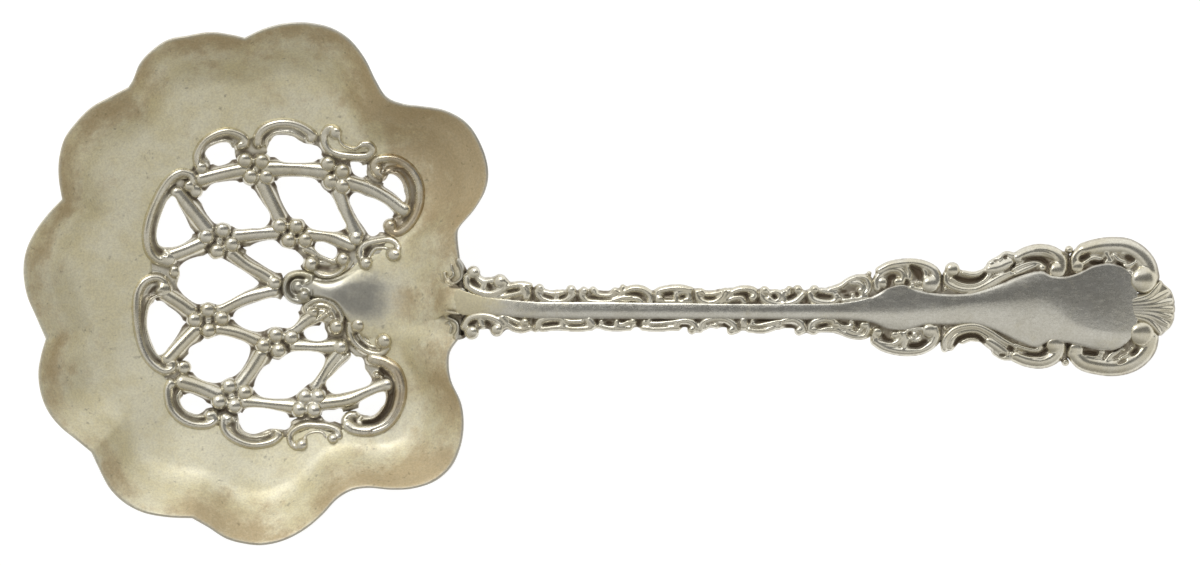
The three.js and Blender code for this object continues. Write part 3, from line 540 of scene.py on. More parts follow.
def relief_piece(name, nodes, forms, face, under, finish, slot, edge_round=EDGE_ROUND, work=lay_out,
                 pierced=False, soiling_and_shade=0.2):
    """Makes the outline, face and underside of a piece from its forms. soiling_and_shade says how much
    tarnish and painted shade its low ground holds."""
    raised = [form for form in forms if not form.sunk]
    low = np.floor((np.min([form.low for form in raised], axis=0) - lattice_low) / LATTICE).astype(int)
    high = np.ceil((np.max([form.high for form in raised], axis=0) - lattice_low) / LATTICE).astype(int)
    x, y = lattice_places(np.arange(low[0], high[0] + 1), np.arange(low[1], high[1] + 1))
    lower = PIECE_STEP * len(pieces)

    def worked(px, py):
        edge, _, dug = work(forms, px, py)
        around_it = [work(forms, px + i * WEAR, py + j * WEAR)[1] for i in (-1, 1) for j in (-1, 1)]
        if pierced:
            edge = np.maximum(edge, in_hole(px, py))
        return edge, sum(around_it) / 4 - lower, dug

    edge, relief, dug = worked(x, y)
    inside = edge < 0
    count = inside.sum()
    points, faces, walls = cut_out(x, y, edge)
    px, py = points.T
    edge_all, relief_all, _ = worked(px, py)
    edge_all[count:] = 0
    drop = rounding(-edge_all, edge_round)
    top = face(px, py) + relief_all - drop
    bottom = np.minimum(under(px, py) + 0.5 * drop, top - THINNEST)

    window = (slice(low[1], high[1] + 1), slice(low[0], high[0] + 1))
    level = np.full(inside.shape, np.nan)
    level[inside] = top[:count]
    shown = inside & ~(level <= ground[window])
    ground[window][shown] = level[shown]
    # Painted shade with tarnish on low ground and in pits, by how deep they lie
    low_ground = soiling_and_shade * np.clip((LOW_GROUND - relief - dug) / LOW_RANGE, 0, 1)
    soil_and_shade[window][shown] = (low_ground + np.clip(PIT_TARNISH_AND_SHADE * dug, 0, MOST_TARNISH_AND_SHADE))[shown]
    total = len(points)
    polygons = faces + [rings[:, ::-1] + total for rings in faces]
    polygons.append(np.column_stack([walls, walls[:, ::-1] + total]))
    vertices = np.vstack([np.column_stack([points, top]), np.column_stack([points, bottom])])
    pieces.append({"name": name, "nodes": nodes, "vertices": vertices, "polygons": polygons,
                   "finish": finish, "slot": slot})


def build_mesh(name, vertices, polygons):
    """A Blender object from an array of vertices and arrays of polygons."""
    mesh = bpy.data.meshes.new(name)
    mesh.vertices.add(len(vertices))
    mesh.vertices.foreach_set("co", (vertices * MM).astype(np.float32).ravel())
    sizes = np.concatenate([np.full(len(rings), rings.shape[1]) for rings in polygons])
    corners = np.concatenate([rings.ravel() for rings in polygons])
    mesh.loops.add(len(corners))
    mesh.loops.foreach_set("vertex_index", corners.astype(np.int32))
    mesh.polygons.add(len(sizes))
    mesh.polygons.foreach_set("loop_start", (np.cumsum(sizes) - sizes).astype(np.int32))
    mesh.polygons.foreach_set("use_smooth", np.ones(len(sizes), dtype=bool))
    mesh.update(calc_edges=True)
    mesh.validate()
    made = bpy.data.objects.new(name, mesh)
    bpy.context.scene.collection.objects.link(made)
    return made


# The bowl: rings from the rim inwards on the face, and back outwards on the underside

def rim_stations():
    """Places round the rim, evenly spaced within each lobe, with the notches among them."""
    spacing, heel_count = 0.4, 20
    stations = []
    for row in LOBES:
        line = smooth_line(row, step=0.05)
        lengths = np.concatenate([[0], np.cumsum(np.hypot(*np.diff(line, axis=0).T))])
        count = math.ceil(lengths[-1] / spacing)
        spots = np.linspace(0, lengths[-1], count + 1)[:-1]
        stations.append(np.column_stack([np.interp(spots, lengths, line[:, axis]) for axis in (0, 1)]))
    heel_low, heel_high = np.array(LOBES[-1][-1]), np.array(LOBES[0][0])
    shares = np.linspace(0, 1, heel_count + 1)[:-1, None]
    stations.append(heel_low + shares * (heel_high - heel_low))
    return np.vstack(stations)


def add_bowl():
    turns = turn_of(*rim_stations().T)
    reach, inner = rim_reach(turns), field_reach(turns)
    close_rings = [0.0, 0.03, 0.08, 0.15, 0.25, 0.4, 0.6, 0.85]
    wall_rings = np.arange(1.1, HEEL_WALL_WIDTH + 0.1, 0.27)
    floor_shares = np.linspace(0, 1, 18)[1:]
    radii = [reach - d for d in close_rings]
    radii += [reach - np.minimum(d, 0.9 * (reach - inner)) for d in wall_rings]
    edge_of_wall = radii[-1]
    radii += [edge_of_wall + share * (inner - edge_of_wall) for share in floor_shares]
    face_rings, under_rings = [], []
    for r in radii:
        x, y = place_at(turns, r)
        drop = rounding(reach - r, RIM_ROUND)
        face_rings.append(np.column_stack([x, y, bowl_face(x, y) - drop]))
        under_rings.append(np.column_stack([x, y, bowl_under(x, y) + 0.6 * drop]))
    rings = face_rings + under_rings[::-1]
    size = len(turns)
    index = np.arange(size)
    after = (index + 1) % size
    polygons = []
    for a in range(len(rings)):
        b = (a + 1) % len(rings)
        corners = [a * size + index, a * size + after, b * size + after, b * size + index]
        polygons.append(np.column_stack(corners))
    pieces.append({"name": "bowl_sheet", "nodes": ["bowl"], "vertices": np.vstack(rings),
                   "polygons": polygons, "finish": "gilt", "slot": "gilt_bowl"})
    x, y = lattice_places(np.arange(lattice_size[0]), np.arange(lattice_size[1]))
    turn, r = turn_of(x, y), reach_of(x, y)
    level = np.where((r < rim_reach(turn)) & (r > field_reach(turn)), bowl_face(x, y), np.nan)
    ground[:] = np.fmax(ground, level)


# The ring of scrolls. A ridge runs outside, a thin lip inside, and a dark channel between them.

def channelled(ridge_points, lip_points, *more, width=1.1):
    """A scroll with an outer ridge, an inner lip and a channel between the two."""
    outline = tuple(ridge_points) + tuple(reversed(lip_points))
    outer = smooth_line(ridge_points)
    channel = []
    for x, y in lip_points:
        across_from = outer[np.argmin(np.hypot(outer[:, 0] - x, outer[:, 1] - y))]
        channel.append((0.6 * x + 0.4 * across_from[0], 0.6 * y + 0.4 * across_from[1]))
    return [pad(*outline, level=WEB_LEVEL), ridge(width, *ridge_points, taper=0.12),
            ridge(0.32, *lip_points), pit(0.5, *channel, depth=0.18), *more]


RING_SCROLLS = [
    channelled(
        [(-43.9, 11), (-44.1, 11.6), (-45.1, 11.9), (-46.15, 11.35), (-47.05, 10.25), (-47.8, 8.8),
         (-48.45, 7.2), (-48.8, 5.6), (-48.8, 4.3), (-48.45, 3.2), (-47.7, 2.5), (-47, 2.3)],
        [(-45.4, 10.15), (-46.5, 9.4), (-47.4, 7.6), (-47.85, 5.8), (-47.8, 4.6), (-47.4, 3.9),
         (-46.7, 3.5)],
        knob(-44.3, 10.45, 0.65), knob(-46.6, 2.6, 0.95, rise=0.6),
        pit(0.45, (-44.9, 11.25), (-44.4, 11.15)), knob(-43.6, 9.9, 0.75, rise=0.4),
        knob(-45.8, 1.2, 0.65, rise=0.3), ridge(0.5, (-46.9, 3.4), (-46.2, 3.6)),
        pit(0.3, (-48.6, 1.7), (-47.6, 1.4), depth=0.3), width=1.25),
    channelled(
        [(-43.3, 12.7), (-43.5, 13.5), (-43.2, 14.4), (-42.5, 15.3), (-41.5, 15.95), (-40.3, 16.3),
         (-39.2, 16.1), (-38.4, 15.6), (-38.3, 15), (-38.9, 14.8)],
        [(-42.4, 13.5), (-42.5, 14.2), (-42.1, 14.8), (-41.3, 15.2), (-40.3, 15.4), (-39.5, 15.2)],
        knob(-42.95, 12.4, 0.72), knob(-38.7, 14.9, 0.45)),
    channelled(
        [(-36.9, 15.1), (-36.8, 15.9), (-36.2, 16.6), (-35.2, 17.05), (-34, 17.2), (-32.8, 17),
         (-31.7, 16.5), (-31, 15.9), (-31.2, 15.5)],
        [(-36.1, 14.9), (-36, 15.5), (-35.3, 16.1), (-34.2, 16.35), (-33, 16.2), (-31.9, 15.6)],
        knob(-31.3, 15.6, 0.5), width=1.3),
    [ridge(1, (-28.4, 16), (-28.7, 16.6), (-29.4, 16.6), (-29.8, 15.9), (-29.7, 15), (-29.2, 14.3),
         (-28.2, 13.85), (-27, 13.65), (-25.8, 13.6), (-24.9, 13.75), (-24.5, 14.3), (-24.9, 14.9),
         (-25.6, 14.9)),
     ridge(0.5, (-28.1, 16.4), (-28.1, 15.6), (-27.8, 15), (-27.2, 14.65), (-26.4, 14.5), (-25.9, 14.8),
         rise=0.5), knob(-28.55, 16.2, 0.75), pit(0.6, (-29, 15.5), (-28.8, 14.9), (-28.3, 14.6)),
     pit(0.45, (-25.7, 14.15), (-25.2, 14.25)), flat(0.8, (-28.3, 15), (-26, 14.3))],
    channelled(
        [(-23.6, 11.6), (-24.2, 12), (-24.4, 12.7), (-24, 13.2), (-23.1, 13.4), (-22, 13.3), (-21, 12.8),
         (-20.1, 11.9), (-19.5, 10.7), (-19.4, 9.4), (-19.6, 8.1), (-20.2, 6.8), (-21, 5.9), (-21.9, 5.45),
         (-22.7, 5.7)],
        [(-23.2, 11.9), (-22.6, 12), (-21.8, 11.8), (-21.1, 11), (-20.75, 9.9), (-20.75, 8.9), (-21.1, 7.9),
         (-21.6, 7.1)],
        knob(-23.9, 12, 0.7), knob(-22.7, 6.2, 0.75), pit(0.35, (-23.6, 11.9), (-23.4, 12.4)),
        ridge(0.3, (-23.4, 12.3), (-22.9, 12.7), (-22, 12.75))),
    [ridge(0.85, (-25.3, 2.2), (-25.85, 3), (-25.7, 3.9), (-24.9, 4.35), (-23.8, 4.6), (-22.7, 4.7),
         (-22, 4.3), (-21.8, 3.6), (-22.2, 3.1)),
     ridge(0.4, (-25, 2.5), (-24.7, 3.2), (-24.2, 3.75), (-23.4, 3.8), (-22.8, 3.7)),
     knob(-25.3, 2.15, 0.75), knob(-22.3, 3.1, 0.85), flat(0.9, (-25.2, 3), (-23.2, 4)),
     pit(0.5, (-25.3, 2.9), (-25.15, 3.5), (-24.8, 3.9)), pit(0.35, (-24.8, 3.9), (-23.3, 4.2), depth=0.12),
     pit(0.35, (-22.4, 4), (-22.2, 3.8))],
    [ridge(0.5, (-31, 1.4), (-30.3, 0.9), (-29.2, 0.75), (-28.2, 1.1), (-27.5, 1.9)),
     ridge(0.4, (-30.6, 3), (-29.6, 2.5), (-28.6, 2.2)), knob(-31.2, 2.05, 0.9), knob(-27.8, 2.6, 0.8),
     pad((-30.8, 2.2), (-28.4, 2.1), (-28, 1.5), (-29.2, 1), (-30.3, 1.2)),
     pit(0.9, (-30.4, 1.7), (-29.2, 1.5), (-28.3, 1.8), depth=0.35)],
    [ridge(0.75, (-31.6, -3.3), (-31.8, -2.6), (-31.1, -2), (-30.1, -1.75), (-29.1, -2), (-28.3, -2.7),
         (-27.9, -3.6), (-28.1, -4.4)),
     ridge(0.35, (-30.9, -2.5), (-30.1, -2.35), (-29.3, -2.6), (-28.8, -3.1), (-28.5, -3.9)),
     ridge(0.6, (-31.3, -4.4), (-30.3, -3.9), (-29.3, -3.2)), knob(-31, -3.2, 0.65),
     knob(-28.5, -4.75, 0.85), pit(0.3, (-31.2, -2.8), (-30.7, -2.5)),
     pit(0.3, (-28.3, -3.2), (-28.1, -4.2)),
     pad((-31.2, -3.6), (-30.8, -2.6), (-29.6, -2.7), (-28.9, -3.6), (-29.4, -4.2), (-30.6, -4)),
     pit(0.45, (-30.4, -2.75), (-29.6, -2.8), (-29, -3.5), depth=0.2)],
    [ridge(0.8, (-27, -4.4), (-27, -5.4), (-26.6, -6.3), (-25.7, -7.1), (-24.6, -7.6), (-23.5, -7.6),
         (-22.9, -7)), ridge(0.35, (-26, -5.6), (-25.5, -6.3), (-24.7, -6.8), (-24, -6.9)),
     knob(-26.15, -4.55, 0.85), knob(-23.35, -6.3, 0.92), pit(0.45, (-26.3, -5.4)),
     pit(0.4, (-25.9, -6.3), (-25.1, -6.95)), pit(0.4, (-23.6, -7.05)),
     flat(1, (-26.3, -5.2), (-25.4, -6.6), (-24, -7.2))],
    [ridge(1.45, (-24.6, -8.2), (-23.2, -8.6), (-22.1, -9.4), (-21.55, -10.7), (-21.5, -12),
         (-21.85, -13.4), (-22.6, -14.7), (-23.8, -15.6), (-25.3, -15.9), (-26.7, -15.65), (-27.2, -15.3),
         rise=0.55, power=0.7),
     pit(0.22, (-23.2, -8.65), (-22, -9.6), (-21.5, -11), (-21.5, -12.4), (-22, -14), (-23, -15.2),
         (-24.6, -15.9), depth=0.12),
     ridge(0.35, (-23.6, -10.1), (-23.1, -11.1), (-23, -12.4), (-23.5, -13.6), (-24.4, -14.5),
         (-25.6, -14.7), rise=0.3),
     pit(0.75, (-23.6, -9.3), (-22.6, -10.6), (-22.5, -12.2), (-23, -13.8), (-24.1, -14.9), (-25.4, -15.1),
         depth=0.4),
     pad((-24.4, -8.4), (-22.6, -9), (-21.8, -11.5), (-22.5, -14.2), (-24.6, -15.7), (-26.6, -15.3),
         (-25.8, -14.6), (-24.2, -14.4), (-23.1, -12.6), (-23.4, -10.2), level=-0.15),
     ridge(0.8, (-27.3, -15.4), (-27.5, -14.7), (-27, -14.2), (-26.4, -14.2)),
     pit(0.3, (-26.5, -14.8), (-26.2, -15.2), (-25.7, -15.3)), knob(-24.1, -9.9, 0.35),
     flat(0.8, (-26.9, -15.1), (-25.8, -14.9))],
    [ridge(0.85, (-31.9, -17), (-32.1, -17.6), (-32.8, -17.7), (-33.4, -17.1), (-33.4, -16.3),
         (-32.8, -15.7), (-31.8, -15.3), (-30.5, -15.3), (-29.2, -15.45), (-28.3, -15.9), (-28.1, -16.5)),
     ridge(0.35, (-32, -16.9), (-31.6, -16.35), (-30.8, -16.05), (-29.9, -16.15), (-29.6, -16.6)),
     knob(-28.8, -16.75, 0.62), knob(-32.2, -17.4, 0.7), pit(0.4, (-32.6, -16.9)),
     pit(0.3, (-32.4, -16.4), (-31.4, -15.9)), pit(0.32, (-29.3, -16.05), (-28.7, -16.1)),
     flat(1, (-32.4, -16.8), (-31.2, -16), (-29.2, -16.2))],
    channelled(
        [(-40.5, -14.4), (-40.6, -15.4), (-40.1, -16.3), (-39, -17), (-37.7, -17.4), (-36.4, -17.35),
         (-35.2, -17), (-34.6, -16.4), (-35, -15.95)],
        [(-39.2, -14.9), (-39.1, -15.7), (-38.5, -16.3), (-37.4, -16.65), (-36.2, -16.5), (-35.2, -16.2)],
        knob(-40.1, -14.7, 0.6)),
    channelled(
        [(-46.3, -10.7), (-46.6, -11.5), (-46.5, -12.7), (-46.2, -13.6), (-45.4, -14.5), (-44.3, -15.1),
         (-43.1, -15.3), (-42.1, -15.2), (-41.5, -14.7), (-41.7, -14.1)],
        [(-45.2, -11.6), (-45.6, -12.3), (-45.3, -13.2), (-44.6, -14), (-43.6, -14.45), (-42.8, -14.4)],
        knob(-42.1, -14.3, 0.6), knob(-46.2, -10.9, 0.5)),
    channelled(
        [(-46.9, -0.7), (-46.9, 0), (-47.5, 0.5), (-48.3, 0.55), (-49.2, 0.1), (-49.8, -0.9), (-50, -2.2),
         (-49.95, -3.8), (-49.75, -5.4), (-49.35, -6.9), (-48.7, -8.2), (-47.8, -9.1), (-46.9, -9.5),
         (-46.1, -9.2), (-46, -8.6)],
        [(-47.6, -1.3), (-48.4, -1.7), (-48.9, -2.9), (-49.05, -4.3), (-48.85, -5.8), (-48.3, -7.2),
         (-47.5, -8.1), (-46.9, -8.5)],
        knob(-47.05, -0.75, 0.95, rise=0.6), knob(-46.4, -8.6, 0.5), knob(-44.85, -9.1, 0.75, rise=0.35),
        pit(0.5, (-48.6, -1.1), (-48.1, -0.6), (-47.7, -0.35), depth=0.35)),
]

# Ground under each scroll, out to the holes and to the bowl
SCROLL_GROUNDS = [
    [[(-44, 11), (-46, 11), (-47.6, 9), (-48.6, 6), (-48.3, 3.4), (-46.6, 2.4), (-46.4, 1.2)]],
    [[(-43.2, 12.4), (-43.3, 14), (-42, 15.5), (-40, 15.8), (-38.4, 15.4), (-38.2, 14)]],
    [[(-37, 14.6), (-36.6, 16), (-35, 16.7), (-33, 16.7), (-31.2, 15.6)]],
    [[(-28.9, 16.2), (-29.4, 15), (-28, 13.8), (-26, 13.8), (-24.8, 14.2)]],
    [[(-24, 12), (-23.8, 12.8), (-22, 12.9), (-20.4, 11.6), (-19.9, 9.4), (-20.4, 7.2), (-22, 5.8)]],
    [[(-25.5, 2.4), (-25.2, 3.8), (-23.5, 4.3), (-22.3, 3.8)]],
    [[(-31.2, 2.2), (-29.6, 1.6), (-28, 2.2), (-27.2, 3.4)]],
    [[(-31.2, -3.2), (-30, -2.8), (-28.8, -3.4), (-28.5, -4.8)]],
    [[(-26.6, -4.6), (-26.5, -6), (-25.2, -7.2), (-23.4, -7)]],
    [[(-24.6, -8.4), (-22.6, -9), (-21.8, -11.4), (-22.3, -14), (-24.2, -15.5), (-26.6, -15.2)],
     [(-24.4, -9), (-24.2, -10.2)]],
    [[(-32.6, -17), (-32.6, -15.9), (-30.6, -15.5), (-28.6, -16.2)]],
    [[(-40.2, -14.6), (-40, -15.8), (-38.2, -16.9), (-36, -16.9), (-34.6, -16.2), (-33.4, -16.2)]],
    [[(-46.2, -10.8), (-46.1, -12.6), (-45, -14), (-43.2, -14.9), (-41.8, -14.6)]],
    [[(-48.3, 1.4), (-46.8, 1.4), (-46.6, 0), (-48, -0.2), (-49.2, -1.4), (-49.5, -4.2), (-49, -6.6),
     (-47.6, -8.6), (-46, -9.4), (-45.6, -9.6)]],
]

# The trellis: each cluster has four beads and a small one between them
CLUSTERS = [
    [(-38.3, 13.2), (-36.45, 13.1), (-37.7, 11.45), (-36, 11.4)],
    [(-29.4, 12.8), (-27.8, 12), (-29.1, 10.9), (-27.75, 10.35)],
    [(-42.5, 5), (-40.7, 5.7), (-39.7, 4.15), (-41.3, 3.4)],
    [(-34.6, 6.15), (-32.8, 6.15), (-33.6, 4.55), (-31.8, 4.6)],
    [(-43.75, -4), (-42.3, -2.9), (-42.2, -5.15), (-40.8, -3.8)],
    [(-36.35, -6.75), (-35, -5.6), (-34.7, -7.3), (-33.3, -5.85)],
    [(-41.1, -12.75), (-40, -11.1), (-39.4, -13.2), (-38.3, -11.8)],
    [(-31.9, -12.2), (-30.4, -12.2), (-32.5, -13.6), (-30.85, -13.65)],
]

BARS = [
    [(-42.9, 11.2), (-40.8, 11.75), (-38.6, 12.2)],
    [(-35.6, 12.3), (-33, 12.3), (-30, 12.05)],
    [(-45.6, 9.6), (-44.2, 8), (-42.4, 5.8)],
    [(-36.4, 10.6), (-35.5, 8.8), (-34.6, 7)],
    [(-28.2, 9.6), (-27.4, 7.4), (-26.2, 5.2)],
    [(-27.1, 10.8), (-24.9, 10.1), (-23, 9.1), (-21.2, 7.9)],
    [(-46.1, 3), (-44.6, 3.6), (-43.2, 4.2)],
    [(-39.1, 5.1), (-37.2, 5.3), (-35.2, 5.45)],
    [(-39.7, 3.1), (-38, 1.8), (-36.6, 1.1), (-35.5, 0.4)],
    [(-31.3, 5.2), (-29.4, 5.05), (-27, 4.2)],
    [(-31.6, 3.7), (-30.2, 3.1), (-28.8, 2.5)],
    [(-46.8, -1.2), (-45.4, -2.1), (-44.2, -3)],
    [(-46.6, -8.1), (-45.2, -6.6), (-43.7, -5.1)],
    [(-40.9, -2.8), (-38.3, -1.6), (-35.4, -0.9)],
    [(-41.1, -5), (-39, -5.4), (-37, -6.2)],
    [(-36.6, -7.7), (-37.6, -9.3), (-38.8, -10.9)],
    [(-45, -10.7), (-43.2, -11.2), (-41.3, -12)],
    [(-38.2, -12.8), (-36, -13), (-33.2, -13.25)],
    [(-32.8, -6.8), (-30.5, -6.9), (-28, -6.8)],
    [(-28.3, -7.6), (-29.6, -9.2), (-30.7, -11.1)],
    [(-30, -12.9), (-27.2, -12.5), (-24.9, -11.6), (-23.1, -11)],
    [(-33.2, -5), (-32.2, -4.4), (-31.2, -3.7)],
]
BAR_WIDTH = 1.25
BAR_WIDTHS = {1: 1.5, 2: 1.3, 8: 1.1, 10: 0.8, 14: 1.15, 16: 1.4, 17: 1.35, 19: 1}
BAR_BEADS = {4: (-26.4, 4.8, 0.85), 8: (-35.15, 0, 0.85), 18: (-28, -6.95, 0.85)}
TWIN_BAR = 19  # this bar has a second ridge beside it
TWIN_RIDGE = [(-27.2, -7.8), (-28.3, -8.8), (-29.7, -10.7)]
SCROLL_GROUND = 2.4
CLUSTER_GROUND = 3.7
MIDDLE_BEAD = 0.45


def add_openwork():
    def add(name, node, forms):
        relief_piece(name, [node], forms, bowl_face, bowl_under, "carved", "carved_silver", pierced=True)

    for i, forms in enumerate(RING_SCROLLS):
        ground_forms = [flat(SCROLL_GROUND, *line) for line in SCROLL_GROUNDS[i]]
        add(f"scroll_relief_{i + 1:02d}", f"ring_scroll_{i + 1:02d}", ground_forms + forms)
    for i, beads in enumerate(CLUSTERS):
        middle = tuple(np.mean(beads, axis=0))
        forms = [flat(CLUSTER_GROUND, middle), knob(*middle, MIDDLE_BEAD)]
        forms += [knob(*at, BEAD_RADIUS) for at in beads]
        add(f"cluster_relief_{i + 1:02d}", f"bead_cluster_{i + 1:02d}", forms)
    for i, line in enumerate(BARS):
        forms = [roof(BAR_WIDTHS.get(i, BAR_WIDTH), WEB_WIDTH, *line)]
        if i in BAR_BEADS:
            forms.append(knob(*BAR_BEADS[i]))
        if i == TWIN_BAR:
            forms.append(ridge(0.7, *TWIN_RIDGE))
        add(f"bar_relief_{i + 1:02d}", f"trellis_bar_{i + 1:02d}", forms)


# The handle's plain stem and panel, upper and lower edge
STEM_UPPER = [
    (-15.4, -0.75), (-14, -1.05), (-12.5, -1.45), (-10.5, -1.7), (-7, -2), (0, -2.05), (20, -2.25),
    (26, -2.1), (29, -1.5), (31, -0.5), (32.5, -0.2), (34.5, -0.8), (37, -1.15), (40, -1), (43, -0.1),
    (45.5, 0.9), (47.5, 1.3), (48.6, 0.8), (50, 0.7), (51.5, 1.1), (53.2, 1.9), (55, 2.1), (56.5, 1.6),
    (57.5, 0.5), (57.9, -1.2),
]
STEM_LOWER = [
    (-15.4, -3.1), (-11, -3.5), (-7, -3.8), (0, -3.85), (20, -3.9), (26, -3.95), (29, -4.2), (31, -4.95),
    (33, -5), (35, -4.5), (37.5, -4.5), (40, -4.4), (42, -4.9), (45, -6.3), (47, -6.9), (48.3, -6.3),
    (50, -6.4), (51.5, -6.7), (53.5, -7.2), (55.5, -7.2), (56.8, -6.4), (57.5, -5.4), (57.9, -4.2),
]

# Smooth lines through the same edges, and the crest between them, for the crown
CROWN_UPPER = [
    (-15.4, -0.75), (-11, -1.6), (-7, -2), (0, -2.05), (20, -2.25), (26, -2.1), (30, -1), (33, -0.6),
    (37, -1.1), (40, -1), (43.5, 0), (47, 1.3), (51, 2), (55, 2.2), (58, 1.8),
]
CROWN_LOWER = [
    (-15.4, -3.1), (-11, -3.5), (-7, -3.8), (0, -3.85), (20, -3.9), (26, -3.95), (30, -4.6), (33, -4.9),
    (37, -4.5), (40, -4.5), (43.5, -5.7), (47, -6.8), (51, -7.3), (55, -7.5), (58, -7.3),
]
STEM_CREST = [
    (-15.4, -1.9), (-12, -2.6), (-9, -3), (-4, -3.05), (20, -3.1), (32, -3.05), (36, -2.75), (40, -2.35),
    (44, -2.1), (46.5, -1.95), (48, -2.1), (49.5, -2.9), (51.2, -4.2), (53.3, -4.9), (55.5, -5.1), (58, -5),
]

# Along x, the rise of the crest by half width, and the height of the edges above the sheet
CROWN_SHARES = ([-15, -7, 26, 36, 54, 58], [0.05, 0.155, 0.155, 0.13, 0.13, 0.05])
STEM_LEVELS = ([-15, -9, 26, 34, 55, 57.5], [0.1, 0.3, 0.3, 0.12, 0.12, 0.02])

crown_edges = [smooth_line(points) for points in (CROWN_UPPER, STEM_CREST, CROWN_LOWER)]


def level_at(line, x):
    return np.interp(x, line[:, 0], line[:, 1])


def across(upper, crest, lower, x, y):
    """Share of the way from the crest of a strip to its nearer edge, and half the strip's width."""
    top, middle, bottom = (level_at(line, x) for line in (upper, crest, lower))
    share = np.where(y > middle, (y - middle) / (top - middle), (middle - y) / (middle - bottom))
    return np.clip(share, 0, 1), (top - bottom) / 2


def stem_relief(x, y):
    """Height of the stem and the panel above the handle's sheet."""
    share, half = across(*crown_edges, x, y)
    crown = np.interp(x, *CROWN_SHARES) * half * (1 - share**2)
    return np.interp(x, *STEM_LEVELS) + crown + HANDLE_CAMBER * (y - AXIS_Y)**2


def add_stem():
    outline = pad(*STEM_UPPER, *reversed(STEM_LOWER))
    # A low tarnished line runs by the stem's lower edge and round the panel
    groove_width, groove_depth, groove_tarnish = 0.22, 0.06, 0.25
    panel_from, groove_end = 29, 57.2

    def work(forms, x, y):
        gap = outline.at(x, y)[0]
        lower_side = y < level_at(crown_edges[1], x)
        by_edge = np.clip(1 + gap / groove_width, 0, 1) * (lower_side | (x > panel_from))
        by_edge *= np.clip((groove_end - x) / 1.5, 0, 1)
        tarnish = groove_tarnish * by_edge * np.clip((x + 9) / 4, 0, 1)
        return gap, stem_relief(x, y) - groove_depth * by_edge, tarnish

    relief_piece("stem_relief", ["handle_stem"], [outline], handle_face, handle_under,
                 "plain", "plain_silver", edge_round=STEM_EDGE, work=work)


# The tongue from the heel down to its volute: its two edges, the lines where its swell begins and
# is highest, and the height along its middle
TONGUE_UPPER = [
    (-31.6, 0.7), (-29.5, 0.45), (-28.2, 0.8), (-27, 1.5), (-26, 2.4), (-24, 3.2), (-21.5, 3), (-18.8, 1.6),
    (-17.2, 0.3), (-16, -0.4), (-14.6, -0.8),
]
TONGUE_LOWER = [
    (-31.6, -1.5), (-30, -1.6), (-28.6, -2.1), (-27.7, -3.4), (-26.8, -4.8), (-24.6, -6.2), (-21.5, -6.2),
    (-18.8, -4.8), (-17.2, -3.7), (-16, -3.2), (-14.6, -3),
]
TONGUE_FALL = [
    (-31.6, 0.5), (-29.5, 0.15), (-28.2, 0.42), (-27, 1), (-26, 1.4), (-24, 1.7), (-21.5, 1.6), (-18.8, 1),
    (-17.2, 0), (-16, -0.5), (-14.6, -0.8),
]
TONGUE_CREST = [
    (-31.6, -1), (-30, -1.4), (-28.5, -2), (-26.8, -3.2), (-24.5, -3.8), (-22.5, -3.8), (-20.5, -3.2),
    (-18.5, -2.5), (-16.5, -2), (-14.6, -1.9),
]
SPINE = [
    (-31.6, 1.25), (-30.6, 1.7), (-29, 2.1), (-27, 2.3), (-25, 2.5), (-24, 2.62), (-23, 2.78), (-22, 3.05),
    (-21, 3.55), (-20.2, 4.15), (-19.2, 5.05), (-17.8, 6.3), (-16.6, 7.85), (-15.6, 8.8), (-14.4, 9.25),
]

# Along x, how steep the sides of the tongue's swell are, and how far it lies below its height
TONGUE_POWERS = ([-28.5, -25, -22, -19, -15.5], [0.4, 0.8, 1.4, 1.7, 0.6])
TONGUE_SINKS = ([-26, -23, -18, -16.5], [0, 0.12, 0.12, 0])
ROOT_X = -18.2  # from here on the tongue rises to the stem, and is flush with it at the root's end
ROOT_LENGTH = 2.8

